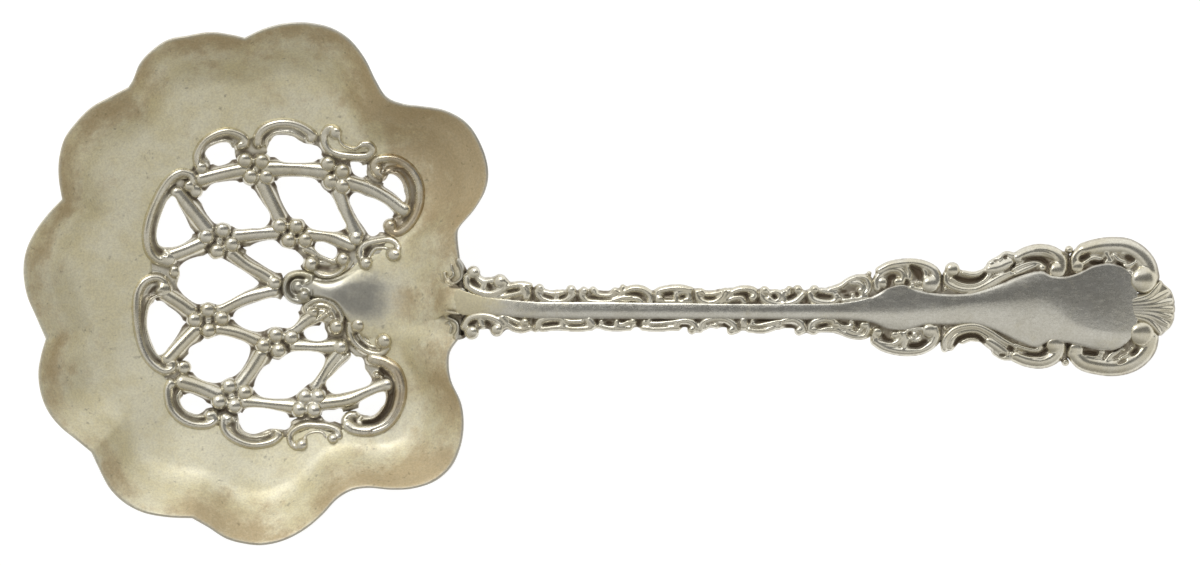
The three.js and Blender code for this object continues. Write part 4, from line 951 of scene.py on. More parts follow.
# The volute, and the two small spirals where the tongue meets the handle
VOLUTE = [
    flat(2.2, (-32.7, -0.5), (-31.6, -0.5)),
    ridge(0.8, (-31.2, 0.75), (-31.9, 1), (-32.8, 1), (-33.6, 0.65), (-34, -0.1), (-33.9, -1),
        (-33.3, -1.7), (-32.4, -1.95), (-31.6, -1.75), rise=0.45),
    ridge(0.4, (-32.2, 0.3), (-32.8, 0.35), (-33.25, 0.1), (-33.4, -0.5), (-33.2, -1.1), (-32.7, -1.4),
        rise=0.3), ridge(0.35, (-31.05, 0.8), (-31.2, 0.2), (-31.7, -0.1), rise=0.5),
    knob(-32.6, -0.4, 0.55, rise=0.3), knob(-31.95, -1.3, 0.75, rise=0.9),
    pit(0.35, (-31.9, 0.55), (-32.7, 0.65), (-33.4, 0.3), (-33.65, -0.3), (-33.55, -1), (-33.1, -1.5),
        depth=0.2), pit(0.3, (-31.1, -1.7), (-31.05, -0.8), depth=0.2),
    pad((-16.5, 1.2), (-15.9, 2.2), (-15.3, 2.6), (-14.4, 1.6), (-13.9, 0.2), (-14, -0.9), (-15.6, -0.6),
        (-16.4, 0)),
    pad((-16.4, -4.2), (-16, -3.3), (-14.2, -3.2), (-13.9, -4.4), (-14.4, -5.8), (-15.4, -6.1),
        (-16.1, -5.4)),
    ridge(0.6, (-15.35, 2.5), (-15, 1.8), (-14.8, 1), (-15, 0.35), (-15.7, -0.05), (-16.25, 0.05),
        (-16.6, 0.5), (-16.75, 1.1), rise=0.5),
    ridge(0.4, (-16.1, 2), (-15.85, 1.2), (-15.75, 0.8), (-16.1, 0.5), rise=0.4),
    ridge(0.6, (-16.5, -3.7), (-15.9, -3.85), (-15.4, -4.3), (-15.25, -5), (-15.6, -5.8), rise=0.5),
    ridge(0.4, (-16.6, -4.35), (-16.25, -4.3), (-15.95, -4.7), (-16.1, -5.3), rise=0.4),
    ridge(0.4, (-16.4, -3.2), (-15.8, -3.15), (-15.2, -3.4), rise=0.4), knob(-14.6, -0.75, 0.3, rise=0.9),
    knob(-14.65, -3.4, 0.28, rise=0.9), pit(0.45, (-16.4, 0.9), (-16, 1.2), depth=0.5),
    pit(0.5, (-15.45, 1.5), (-15.3, 0.8), (-15.7, 0.3), depth=0.55),
    pit(0.35, (-16.2, 1.5), (-16.3, 2.2), depth=0.4),
    pit(0.9, (-15, -0.25), (-14.4, 0.2), (-14.3, 0.9), depth=0.5),
    pit(0.35, (-16.2, -0.4), (-15, -0.5), depth=0.4),
    pit(0.45, (-15.95, -4.3), (-15.65, -4.7), (-15.8, -5.3), depth=0.55),
    pit(0.4, (-16.5, -4.6), (-16.3, -4.7), depth=0.5), pit(0.35, (-16.2, -3.45), (-15.4, -3.7), depth=0.4),
    pit(0.7, (-15.1, -3.8), (-14.7, -4.4), (-14.8, -5.4), depth=0.5),
    pit(0.3, (-16.4, -2.9), (-14.6, -3.1), depth=0.4),
]


def add_tongue():
    edges = [smooth_line(points) for points in (TONGUE_FALL, TONGUE_CREST, TONGUE_LOWER)]
    spine = smooth_line(SPINE)
    outline = pad(*TONGUE_UPPER, *reversed(TONGUE_LOWER))

    def work(forms, x, y):
        edge, relief, dug = lay_out(VOLUTE, x, y)
        gap, _ = outline.at(x, y)
        share, _ = across(*edges, x, y)
        height = level_at(spine, x) - bowl_face(x, level_at(edges[1], x))
        swell = height * np.maximum(1 - share**2, 0)**np.interp(x, *TONGUE_POWERS)
        swell -= np.interp(x, *TONGUE_SINKS)
        root = np.clip((x - ROOT_X) / ROOT_LENGTH, 0, 1)
        root = root**2 * (3 - 2 * root)
        flush = handle_face(x, y) + stem_relief(x, y) - 0.02 - bowl_face(x, y)
        swell = (1 - root) * swell + root * flush
        return np.minimum(edge, gap), np.where(gap < 0.2, blended(relief, swell, 0.15), relief) - dug, dug

    relief_piece("tongue_relief", ["drop_tongue"], VOLUTE + [outline], bowl_face, bowl_under, "gilt",
                 "gilt_bowl", work=work)


# The borders beside the stem: small scrolls with dark hollows between them

def curl(width, *points):
    return ridge(width + 0.4, *points, rise=0.36 * width + 0.14, taper=0.1, power=0.85)


def bed(*points):
    """Low dark ground inside a closed smooth outline."""
    return pad(*points, level=-0.12)


CHAIN_UPPER = [
    bed((-14.4, 0.9), (-12.6, 0.2), (-10, -0.3), (-7.4, -0.6), (-7.4, -2.4), (-12, -2), (-13.9, -0.6)),
    knob(28.9, 1.05, 0.25), flat(1.4, (-7.4, -1.7), (10, -1.8), (27, -1.7)),
    bed((24, -1), (26.2, 0.1), (27.6, 0.8), (28.8, 0.9), (29.4, 0.2), (29.6, -1.6), (28, -2.2), (24, -2.4)),
    flat(0.9, (-14.2, -0.2), (-13, -0.7), (-11.5, -0.9), (-10.4, -0.7)),
    flat(1.2, (-13.6, 0.2), (-11.6, -0.2), (-10.4, -0.4)),
    flat(1.7, (-10, -1.3), (-7.5, -1.4), (-5, -1.9), (-2, -1.7), (3, -1.7), (8, -1.7), (15, -1.7),
        (22, -1.7), (25.5, -1.5)), flat(1.6, (25.6, -1.2), (27, -0.6), (28.2, -0.4)),
    flat(1, (26, -1.7), (28.4, -1.3)), knob(-13.6, 1.15, 0.72), knob(-10.75, 0.2, 0.78),
    curl(0.55, (-14.3, 0.6), (-14.2, -0.2), (-13.4, -0.8), (-12.3, -1.15), (-11.3, -1.1), (-10.4, -0.6),
        (-10.15, 0)), curl(0.35, (-12.2, 0.1), (-12.5, -0.3), (-12.6, -0.7)),
    curl(0.4, (-13.2, 0.6), (-12.5, 0.15), (-11.6, 0.3)), pit(0.5, (-13.8, 0.3), (-13.1, -0.3)),
    pit(0.45, (-12, -0.1), (-11.7, -0.6)),
    curl(0.3, (-12.6, -1.4), (-11, -1.5), (-9.8, -1.35), (-8.9, -1.1), (-8.4, -1)),
    curl(0.45, (-9.9, -0.4), (-9.2, -0.25), (-8.2, -0.2), (-7.6, -0.3)),
    curl(0.7, (-8.2, -0.5), (-7.9, -1), (-7.9, -1.5)), pit(0.4, (-9.8, -0.85), (-8.8, -0.7)),
    pit(0.25, (-7.15, -0.1), (-7.2, -1.9)), knob(-6.5, -0.55, 0.48), knob(-3.1, -0.75, 0.55),
    curl(0.5, (-6.8, -0.9), (-6.4, -1.5), (-5.6, -1.9), (-4.6, -2.05), (-3.6, -1.8), (-2.9, -1.2)),
    curl(0.3, (-6, -0.95), (-5, -1.15), (-4, -1)), curl(0.3, (-4.65, -1.1), (-4.6, -1.8)),
    pit(0.4, (-6.1, -1.3), (-5.1, -1.6)), pit(0.4, (-4.3, -1.6), (-3.7, -1.35)),
    pit(0.25, (-2.45, -0.5), (-2.4, -2)), knob(-1.75, -0.85, 0.48), knob(-0.75, -0.75, 0.4),
    knob(1.6, -0.85, 0.4),
    curl(0.45, (-2.1, -1.2), (-1.5, -1.85), (-0.3, -2.05), (1.2, -1.95), (2.4, -1.6), (3.2, -1.5)),
    curl(0.33, (-0.6, -1), (0.3, -1.35), (1.2, -1.3), (1.9, -1)), pit(0.28, (-0.2, -0.95), (1, -1.05)),
    pit(0.33, (-1.2, -1.55), (1.1, -1.68)), curl(0.3, (2.45, -0.45), (2.3, -1.2)),
    curl(0.45, (2.6, -1), (3.3, -0.65), (4.3, -0.62), (5.1, -1), (5.5, -1.6), (5.4, -2.05)),
    curl(0.35, (2.6, -1.75), (3.7, -1.65), (4.4, -1.9), (4.5, -2.2)),
    pit(0.32, (2.8, -1.2), (4.1, -1.2), (4.8, -1.9)), pit(0.22, (5.75, -0.8), (5.8, -2.1)),
    knob(6.35, -1.75, 0.55),
    curl(0.45, (6.05, -1.4), (6.2, -0.95), (7.2, -0.65), (8.6, -0.55), (9.7, -0.75)),
    curl(0.3, (8.2, -1.8), (8.15, -1.2), (8.8, -0.95), (9.5, -1.1), (9.6, -1.7), (9.1, -1.8)),
    curl(0.3, (7, -2), (8.4, -2.05), (9.8, -2)), pit(0.45, (7, -1.2), (7.7, -1.1)),
    pit(0.3, (8.8, -1.4), (9, -1.5)), pit(0.25, (10, -0.7), (10.1, -1.9)), knob(10.8, -0.95, 0.42),
    curl(0.5, (10.35, -1), (10.6, -1.7), (11.3, -2.1), (12.2, -2.1), (13, -1.6), (13.4, -0.9)),
    curl(0.3, (11.2, -1.2), (12.1, -1.2), (12.8, -0.95)),
    curl(0.35, (13, -2.1), (13.6, -1.4), (13.9, -0.85)), pit(0.35, (11.3, -1.6), (12.3, -1.55)),
    pit(0.22, (12.5, -0.85), (12.8, -0.8)),
    curl(0.45, (14, -1.15), (14.6, -0.8), (15.6, -0.65), (16.5, -0.85), (16.8, -1.3)),
    knob(16.35, -1.6, 0.45), curl(0.33, (13.6, -1.95), (14.4, -1.6), (15.1, -1.6), (15.5, -2.1)),
    pit(0.32, (14.4, -1.25), (15.6, -1.15), (15.85, -1.8)), pit(0.25, (17, -0.4), (16.95, -2.1)),
    knob(17.65, -0.8, 0.5), knob(21.2, -0.7, 0.5),
    curl(0.5, (17.2, -1.1), (17.6, -1.8), (18.6, -2.25), (19.8, -2.3), (21, -1.95), (21.8, -1.2)),
    curl(0.25, (18.2, -1.1), (18.8, -0.95), (19.3, -1.2), (19.3, -1.7), (18.7, -1.95), (18.1, -1.6)),
    curl(0.3, (19.75, -0.95), (19.7, -1.5), (19.8, -2)), curl(0.3, (20.3, -0.6), (20.2, -1)),
    pit(0.5, (18.6, -1.3), (18.8, -1.6)), pit(0.4, (20.2, -1.6), (20.9, -1.25)),
    pit(0.25, (22.1, -0.2), (22.15, -2.1)), knob(23, -0.7, 0.5),
    curl(0.5, (22.45, -1.1), (22.8, -1.75), (23.8, -2.1), (25, -2.05), (25.6, -1.6)),
    curl(0.3, (23.8, -0.8), (24.6, -0.95), (25.3, -1)), knob(25.35, -1.35, 0.38),
    pit(0.5, (23.4, -1.35), (24.7, -1.4)),
    ridge(0.6, (24.7, -0.7), (25.8, -0.35), (26.6, 0.25), (27.6, 0.62), (28.5, 0.5), (28.85, -0.1),
        (28.8, -0.8), (28.2, -1.35)), curl(0.3, (27, 0), (27.8, -0.05), (28.2, -0.5), (28.1, -1)),
    curl(0.35, (26.2, -1.9), (27.5, -1.75), (28.5, -1.5)), knob(27.1, -1.3, 0.3), knob(27.9, -0.8, 0.3),
    pit(0.35, (25.9, -0.95), (26.4, -0.9)), pit(0.4, (26.3, -1.4), (26.8, -1.4)),
    pit(0.3, (27.5, -1.1), (27.6, -1.4)),
]

CHAIN_LOWER = [
    bed((-14.2, -3.6), (-12, -2.9), (-7.4, -3.2), (-7.4, -4.8), (-10, -4.7), (-12, -4.6), (-14.3, -5)),
    flat(1, (-7.4, -3.9), (10, -4), (27, -4.2)),
    bed((24, -3.4), (24, -4.9), (26, -5.4), (27.6, -5.9), (28.7, -5.9), (29.5, -5.2), (29.5, -3.8),
        (27, -3.4)), flat(1.2, (-14.2, -4.5), (-13, -4.3), (-11.5, -4.4), (-10.6, -4.6)),
    flat(1.1, (-10.4, -4.1), (-8, -4.4), (-5, -4.2), (0, -4.2), (5, -4.2), (12, -4.2), (20, -4.3),
        (25.5, -4.4)), flat(1.5, (25.8, -4.7), (27.2, -5.1), (28.3, -5)), knob(-13.8, -5.3, 0.8),
    knob(-11.1, -5.05, 0.72),
    curl(0.55, (-14.6, -4.7), (-14.1, -3.9), (-13.1, -3.55), (-12, -3.6), (-11, -4), (-10.4, -4.6)),
    curl(0.35, (-12.9, -3.9), (-12.6, -4.6)), pit(0.55, (-14, -4.5), (-13.4, -4.1)),
    pit(0.5, (-12.2, -4.2), (-11.8, -4.6)),
    curl(0.45, (-10.6, -3.7), (-10, -4.3), (-9.3, -4.8), (-8.4, -5), (-7.6, -4.8)),
    curl(0.3, (-10.3, -3.55), (-9.6, -3.9), (-8.8, -4.2)), knob(-8.1, -4.25, 0.55),
    pit(0.35, (-9.7, -4.15), (-8.9, -4.6)), pit(0.25, (-7.15, -3.9), (-7.05, -5.1)),
    curl(0.5, (-6.9, -4.9), (-6.4, -4.1), (-5.4, -3.75), (-4.2, -3.8)),
    curl(0.33, (-4.2, -3.85), (-3.2, -4.15), (-2, -4.1)),
    curl(0.33, (-6.2, -4.95), (-4.6, -4.75), (-2.4, -4.9), (-1, -4.8)),
    curl(0.33, (-4.1, -4), (-3.9, -4.7)), pit(0.4, (-6, -4.45), (-4.6, -4.35)),
    pit(0.3, (-3.3, -4.55), (-2, -4.5)), knob(-1.8, -3.8, 0.25), curl(0.65, (-1.2, -3.9), (-0.8, -4.5)),
    pit(0.3, (-0.35, -3.9), (-0.3, -4.5)), knob(0.15, -4.15, 0.3),
    curl(0.33, (0, -4.6), (0.8, -4.8), (2, -4.85), (3.2, -4.8)), curl(0.33, (1.8, -4.1), (1.85, -4.7)),
    curl(0.33, (2.2, -4.5), (3.1, -4.2)), knob(3.5, -4.15, 0.45), pit(0.5, (0.8, -4.3), (1.2, -4.35)),
    pit(0.3, (2.4, -4.1), (2.6, -4)), pit(0.3, (4.15, -4), (4.1, -4.7)), knob(4.75, -4.2, 0.32),
    knob(5.3, -4, 0.25), curl(0.33, (5.4, -4.35), (6.5, -4.35), (7.5, -4.2), (8.2, -4.1)),
    curl(0.33, (4.6, -4.8), (6, -4.9), (7.6, -4.8), (8.4, -4.8)), pit(0.28, (5.7, -3.9), (8, -3.85)),
    pit(0.25, (5.5, -4.65), (7.2, -4.58)),
    curl(0.45, (8.2, -4.6), (8.5, -4.15), (9.3, -4.05), (10, -4.3), (10.3, -4.8)), knob(9.85, -5.05, 0.48),
    pit(0.35, (8.7, -4.5), (9.5, -4.55)), pit(0.45, (10.3, -3.95)),
    curl(0.5, (10.7, -5), (11.1, -4.25), (12.2, -3.85), (13.4, -3.9), (14.3, -4.4), (14.7, -5)),
    curl(0.25, (11.3, -4.75), (11.8, -4.4), (12.5, -4.6)), knob(14.1, -5.1, 0.5),
    pit(0.3, (11.4, -4.45), (12.2, -4.25)), pit(0.4, (13.3, -4.4), (13.8, -4.7)),
    pit(0.25, (14.95, -3.9), (14.9, -5)), curl(0.75, (15.35, -4), (15.4, -4.6)), knob(16.35, -4.05, 0.27),
    curl(0.33, (16.2, -4.4), (16.8, -4.6), (17.8, -4.45), (18.8, -4.2), (19.8, -3.95), (20.6, -3.85)),
    curl(0.35, (16, -5), (17.6, -5.05), (18.6, -4.8)), pit(0.28, (16.9, -3.95), (19.4, -3.8)),
    pit(0.25, (16.2, -4.8), (17.8, -4.75)), pit(0.3, (15.95, -4), (15.95, -4.4)),
    curl(0.5, (19.2, -4.6), (19.8, -4.1), (20.8, -3.9), (21.6, -4.35), (21.9, -5)), knob(21.35, -5.15, 0.5),
    pit(0.42, (19.6, -4.4), (20.8, -4.7)), pit(0.25, (22.15, -3.9), (22.1, -5.3)),
    curl(0.5, (22.5, -5), (22.9, -4.25), (24, -3.9), (25.1, -4.05)), knob(22.9, -5.1, 0.5),
    knob(25.3, -4.4, 0.48), pit(0.45, (23.4, -4.8), (24.3, -4.45)),
    curl(0.3, (23.4, -5), (24.6, -4.95), (25.4, -5)), knob(27, -4.1, 0.3),
    curl(0.3, (25.6, -4.6), (26.4, -4.75), (27, -4.6)), knob(28.25, -4.55, 0.45),
    ridge(0.6, (25.4, -5), (26.4, -5.5), (27.5, -5.8), (28.4, -5.65), (28.8, -5), (28.7, -4.4)),
    curl(0.3, (26.6, -5.1), (27.4, -5.35), (28, -5.05)), pit(0.35, (26, -4.3), (26.5, -4.35)),
    pit(0.3, (27.5, -4.2), (27.7, -4.7)), pit(0.25, (27.3, -5), (27.6, -5.1)),
]


# The scrolls of the handle's head

def great(width, *points, rise=None):
    """A broad smooth band."""
    if rise is None:
        rise = 0.27 * width + 0.12
    return ridge(width + 0.2, *points, rise=rise, taper=0.12, power=0.8)


def ball(x, y, radius):
    """A broad domed end of a scroll."""
    return knob(x, y, radius, rise=0.62 * radius)


HEAD = {
    "shoulder_scroll_upper": [
        bed((29.5, -1.6), (29.4, 0.4), (30.3, 1.5), (31.6, 2.1), (33.2, 2.3), (35, 2.1), (36.3, 1.4),
            (36.9, 0.4), (36.9, -1.5), (35.2, -1.6), (33.6, -1), (32.2, -0.7), (31, -1)),
        great(0.8, (30, 1.35), (31, 1.85), (32.2, 2.1), (33.6, 2.15), (34.9, 1.9), (35.9, 1.3), (36.2, 0.3),
            (35.9, -0.5)), ball(35.45, -0.1, 0.95),
        great(0.6, (29.75, -0.6), (29.65, 0.3), (30.2, 1), (31.2, 1.45), (32.15, 1.35), (32.6, 0.8),
            (32.4, 0.1)), ball(30.3, 0.05, 0.62), ball(31.95, 0.12, 0.48),
        great(0.4, (32.9, 1.9), (33.25, 1.2), (33.2, 0.4)),
        great(0.3, (34.75, 1.45), (35, 0.95), (34.7, 0.5)),
        great(0.35, (33, -0.55), (33.8, -0.6), (34.5, -0.75)), knob(33.55, -0.15, 0.3),
        knob(34.2, 0.05, 0.25), pit(0.55, (30.95, -0.3), (31.1, 0.5), (31.6, 0.7), depth=0.4),
        pit(1, (33.5, 1.7), (34.1, 1.2), (34.4, 0.6), depth=0.45), pit(0.45, (32.9, -0.15), (33, 0.3)),
        pit(0.3, (36.75, 1), (36.8, -0.9), depth=0.4), knob(37.1, -0.6, 0.3),
    ],
    "shoulder_scroll_lower": [
        bed((29.4, -4), (31, -4.6), (32.6, -4.7), (34.4, -4.2), (36.8, -4.2), (36.9, -5.8), (35.6, -7),
            (33.6, -7.55), (31.6, -7.4), (29.8, -6.9), (29.1, -6)),
        great(0.75, (29.45, -6.3), (30.4, -6.9), (31.8, -7.3), (33.3, -7.4), (34.7, -7.15), (35.7, -6.5),
            (36.1, -5.6), (36, -4.9)), ball(35.35, -5.1, 0.8), ball(29.75, -5.3, 0.55),
        great(0.55, (29.4, -5.6), (29.7, -6.3), (30.6, -6.6), (31.6, -6.55), (32.3, -6), (32.2, -5.4)),
        ball(31.6, -5.6, 0.42), great(0.45, (32.7, -5.4), (32.8, -6.2), (32.6, -7)),
        knob(33.8, -5.55, 0.36), great(0.3, (33.3, -6), (33.9, -6.2), (34.4, -5.9)),
        great(0.3, (33, -5.1), (34, -4.95), (34.6, -4.9)),
        pit(0.45, (30.4, -5.6), (30.7, -6.1), (31.3, -6.2), depth=0.4),
        pit(0.75, (33.4, -6.75), (34.3, -6.7), (34.9, -6.3), depth=0.45),
        pit(0.3, (33.2, -5.5), (33.3, -5.3)), pit(0.3, (36.75, -4.6), (36.8, -6.4), depth=0.4),
        knob(37, -4.85, 0.3),
    ],
    "neck_scroll_upper": [
        bed((36.9, -1.5), (37.1, 1.2), (38, 1.6), (39.4, 1), (41, 1), (42.2, 1.9), (43.4, 2.9), (44.6, 3),
            (45.6, 2.6), (46.4, 1.8), (45, 0.5), (43, -0.6), (41, -1.3), (39, -1.6)),
        ball(37.85, 1.45, 0.8),
        great(0.55, (37.15, 0.9), (37.2, 0.1), (38, -0.45), (39.2, -0.75), (40.4, -0.7), (41.6, -0.15),
            (42.8, 0.55), (44, 1.15)),
        great(0.35, (37.75, 0.45), (38.6, -0.05), (39.8, -0.2), (40.9, 0.05), (41.6, 0.6), (42, 1.2)),
        pit(0.65, (38.1, 0.65), (38.9, 0.3), (40.1, 0.2), (41, 0.6), (41.3, 1), depth=0.45),
        great(0.45, (39, 1.1), (40.2, 0.9), (41.4, 1.3)), great(1.1, (41.9, 1.5), (42.9, 1.7), (44, 2.2)),
        great(0.6, (42, 2.1), (43, 2.6), (43.7, 3.05), (44.4, 2.95)),
        great(0.3, (39.6, -1.2), (41.6, -0.45), (44.1, 0.85), (46, 1.7)),
        pit(0.45, (43.4, 2.75), (43.7, 2.9), depth=0.4), pit(0.4, (42.4, 2.35), (42.7, 2.4)),
        pit(0.6, (44.3, 1.75), (44.9, 2.1), depth=0.45), pit(0.35, (43.5, 1.2), (44.6, 1.7)),
    ],
    "neck_scroll_lower": [
        bed((36.9, -4), (36.9, -7.2), (38, -7), (38.9, -6.1), (40.2, -5.9), (41.2, -6.6), (42.4, -7.4),
            (43.6, -8.1), (45, -8.2), (46.2, -7.2), (45, -6), (43, -4.9), (40.6, -4), (38.6, -4)),
        great(0.6, (37, -7.1), (37.05, -6.2), (37.9, -5.15), (39.2, -4.7), (40.6, -4.7), (41.9, -5.3),
            (43.2, -6.15), (44.6, -6.9)),
        great(0.4, (37.7, -7), (37.7, -6.4), (38.3, -5.65), (39.5, -5.2), (40.6, -5.25), (41.6, -5.8)),
        pit(0.6, (38.1, -6.6), (38.5, -6), (39.5, -5.65), (40.5, -5.75), (41.3, -6.3), depth=0.45),
        great(1, (41.8, -6.3), (42.7, -6.9), (43.5, -7.5)),
        great(0.35, (38.9, -6.35), (39.8, -6), (40.6, -6.1)),
        great(0.4, (42.4, -7.5), (43.4, -8), (44.4, -8)), pit(0.6, (44, -6.85), (44.4, -7.1), depth=0.45),
        pit(0.5, (43, -7.75), (43.5, -7.75), depth=0.4), great(0.3, (44.2, -7.6), (45.2, -7.5)),
    ],
    "crest_scroll_upper": [
        bed((44.6, 1.6), (45, 3), (47, 3.9), (49.2, 3.6), (50.7, 2.8), (50.7, 0.6), (49.6, 0.2), (48, 0.4),
            (46.6, 0.9), (45.4, 0.9)),
        great(1.25, (44.9, 2.75), (46, 3.25), (47.4, 3.5), (48.7, 3.25), (49.55, 2.5), (49.7, 1.6),
            rise=0.45), ball(49.2, 1.35, 0.98),
        great(0.35, (44.4, 1.4), (45.6, 1.95), (46.8, 2.2), (47.6, 1.9)), knob(47.6, 1.65, 0.4),
        great(0.45, (44.6, 0.95), (45.8, 1.5), (46.8, 1.9)),
        pit(0.65, (45.5, 2.55), (46.5, 2.65), (47.5, 2.55), (48.1, 2.1), depth=0.4),
        pit(0.22, (46.2, 3), (47.4, 3.15), (48.4, 2.85), (48.9, 2.3), depth=0.07),
        pit(0.22, (46.8, 3.5), (48.1, 3.4), (49, 2.8), (49.2, 2.3), depth=0.07),
        pit(0.4, (48.35, 1.9), (48.2, 1.4)), pit(0.3, (50.5, 2.9), (50.55, 0.7), depth=0.4),
        knob(50.5, 3.6, 0.42),
    ],
    "crest_scroll_lower": [
        bed((44.4, -6.4), (44.6, -8), (46, -8.5), (47.6, -8.8), (49.2, -8.4), (50.6, -7.8), (50.6, -5.8),
            (49, -5.4), (47.6, -5.8), (46, -5.9)),
        great(1.25, (44.7, -7.9), (46, -8.35), (47.5, -8.5), (48.7, -8.1), (49.4, -7.3), (49.5, -6.6),
            rise=0.45), ball(48.9, -6.65, 0.98),
        great(0.4, (44.6, -6.7), (45.8, -7.1), (46.9, -7.25), (47.5, -6.9)), knob(47.25, -6.6, 0.36),
        pit(0.5, (45.3, -7.5), (46.3, -7.7), (47.4, -7.65), (48, -7.2), depth=0.4),
        pit(0.22, (46.4, -8.1), (47.6, -8.15), (48.5, -7.6), depth=0.07),
        pit(0.3, (47.8, -6.9), (47.85, -6.3)), great(0.35, (45.2, -6.2), (46.4, -6.45), (47.3, -6.2)),
        pit(0.3, (50.4, -5.9), (50.4, -8), depth=0.4), knob(50.1, -8.55, 0.4),
    ],
    "end_scroll_upper": [
        bed((50.6, 1), (51.2, 3), (52.8, 4.1), (55, 4.6), (57.2, 4.2), (59.2, 2.8), (59.9, 0.6),
            (59.2, -0.8), (57.6, -0.6), (56.4, 0.6), (55, 1.2), (53.2, 1.1), (51.8, 0.6)),
        great(0.8, (51, 2.1), (51.15, 2.9), (51.9, 3.6), (53, 4)),
        great(1.55, (52.2, 3.6), (53.6, 3.95), (55.2, 4.1), (56.8, 3.95), (58.2, 3.2), (59.2, 2),
            (59.6, 0.7), rise=0.5), ball(51.4, 1.75, 0.75), ball(58.65, 0.35, 1.5), knob(57.05, 1.15, 0.38),
        great(0.4, (52.2, 2.2), (53.1, 2.7), (53.9, 2.6), (54.6, 2.3)),
        great(0.5, (54.5, 3.2), (54.9, 2.5), (55.3, 1.9)), great(0.35, (55.4, 3), (55.9, 2.5), (56.5, 2.3)),
        great(0.3, (56.4, 1.8), (57.2, 1.9), (57.7, 2.3)),
        great(0.3, (56.3, 3.2), (57.2, 3.2), (58, 2.5), (58.2, 1.9)),
        pit(0.75, (51.9, 2.7), (52.6, 3.1), depth=0.42),
        pit(0.55, (52.9, 2.2), (53.8, 2.1), (54.4, 2.6), depth=0.42),
        pit(0.6, (55.8, 2.1), (56.4, 1.6), depth=0.42), pit(0.7, (56.8, 2.8), (57.5, 2.5), depth=0.3),
        pit(0.4, (54.9, 1.8), (55.4, 2.3)),
    ],
    "end_scroll_lower": [
        bed((50.6, -6.2), (50.7, -7.8), (51.8, -8.9), (53.4, -9.4), (55.4, -9.7), (57.6, -9.2),
            (59.3, -7.8), (59.9, -6), (59.2, -4.4), (57.6, -4.6), (56.4, -5.6), (55.2, -6.4), (53.4, -6.5),
            (51.8, -6)),
        great(1.6, (51, -7.6), (52, -8.55), (53.6, -9), (55.4, -9.15), (57, -8.85), (58.3, -8.1),
            (59.2, -7), (59.5, -5.9), rise=0.5), ball(51.25, -7.15, 0.85), ball(58.45, -5.5, 1.42),
        knob(56.6, -6.15, 0.4), knob(54.05, -7.4, 0.4),
        great(0.35, (52.3, -7.9), (53.2, -8.05), (54, -7.9)),
        great(0.5, (54.6, -8.4), (55.1, -7.8), (55.7, -7.4)),
        great(0.3, (55, -6.9), (55.8, -6.9), (56.4, -7.2)),
        great(0.3, (56.2, -8.1), (57, -7.7), (57.4, -7)), pit(0.5, (52.2, -7.45), (53.4, -7.6), depth=0.42),
        pit(0.45, (55.4, -7.3), (56.2, -6.75), depth=0.4),
        pit(0.45, (55.9, -8.6), (56.6, -8.3), depth=0.35), pit(0.8, (57.2, -7.6), (57.8, -7.3), depth=0.3),
    ],
}

# The shell: its outline, and the far ends of its ribs
SHELL = [
    (57.5, -1.3), (59.4, -1), (60.4, 0), (61.2, -0.4), (61.8, -1.2), (62, -2.75), (61.8, -4.3),
    (61.2, -5.1), (60.5, -5.5), (59.4, -4.6), (57.5, -4.2),
]
SHELL_RIBS = [
    (60.7, 0.05), (61.55, -1), (61.95, -1.95), (62.05, -2.8), (61.9, -3.65), (61.5, -4.5), (60.7, -5.45),
]
RIBS_FROM_X = 57.2
RIB_WIDTH = 0.85
RIB_RISE = 0.3


def add_handle():
    def add(name, node, forms):
        relief_piece(name, [node], forms, handle_face, handle_under, "carved", "carved_silver", soiling_and_shade=0.6)

    add("chain_relief_upper", "stem_border_upper", CHAIN_UPPER)
    add("chain_relief_lower", "stem_border_lower", CHAIN_LOWER)
    for node, forms in HEAD.items():
        add(node.replace("scroll", "relief"), node, forms)
    shell = [pad(*SHELL, level=0.02)]
    for x, y in SHELL_RIBS:
        root = (RIBS_FROM_X, AXIS_Y + 0.3 * (y - AXIS_Y))
        middle = ((RIBS_FROM_X + 0.4 + x) / 2, AXIS_Y + 0.5 * (y - AXIS_Y))
        shell.append(ridge(RIB_WIDTH, root, middle, (x - 0.3, y), rise=RIB_RISE, taper=0.4))
    add("shell_relief", "shell_tip", shell)


add_bowl()
add_openwork()
add_tongue()
add_stem()
add_handle()


# How deep each place lies below its surroundings, for the tarnish and painted shade in creases

def smeared(grid, width):
    """A grid blurred over a width in mm, with the empty cells left out."""
    radius = math.ceil(2.5 * width / LATTICE)
    taps = np.exp(-0.5 * (np.arange(-radius, radius + 1) * LATTICE / width)**2)
    known = ~np.isnan(grid)
    value, weight = np.where(known, grid, 0), known.astype(float)
    for axis in (0, 1):
        value = sum(t * np.roll(value, k - radius, axis) for k, t in enumerate(taps))
        weight = sum(t * np.roll(weight, k - radius, axis) for k, t in enumerate(taps))
    return value / np.maximum(weight, 1e-6)


# Painted shade with tarnish: the further a place lies below its blurred surroundings, the darker it is
crease = sum(share * np.clip((smeared(ground, blur) - ground - least) / extent, 0, 1)
             for blur, least, extent, share in CREASES)
crease = np.nan_to_num(np.clip(np.maximum(crease, soil_and_shade), 0, 1), nan=0.0)
soft_crease = smeared(crease, BOWL_CREASE_BLUR)
crease = smeared(crease, CREASE_BLUR)


def sampled(grid, x, y):
    """Values of a lattice grid at places, between its cells."""
    u = np.clip((x - lattice_low[0]) / LATTICE, 0, lattice_size[0] - 1.001)
    v = np.clip((y - lattice_low[1]) / LATTICE, 0, lattice_size[1] - 1.001)
    i, j = u.astype(int), v.astype(int)
    s, t = u - i, v - j
    return ((grid[j, i] * (1 - s) + grid[j, i + 1] * s) * (1 - t)
            + (grid[j + 1, i] * (1 - s) + grid[j + 1, i + 1] * s) * t)


# Materials

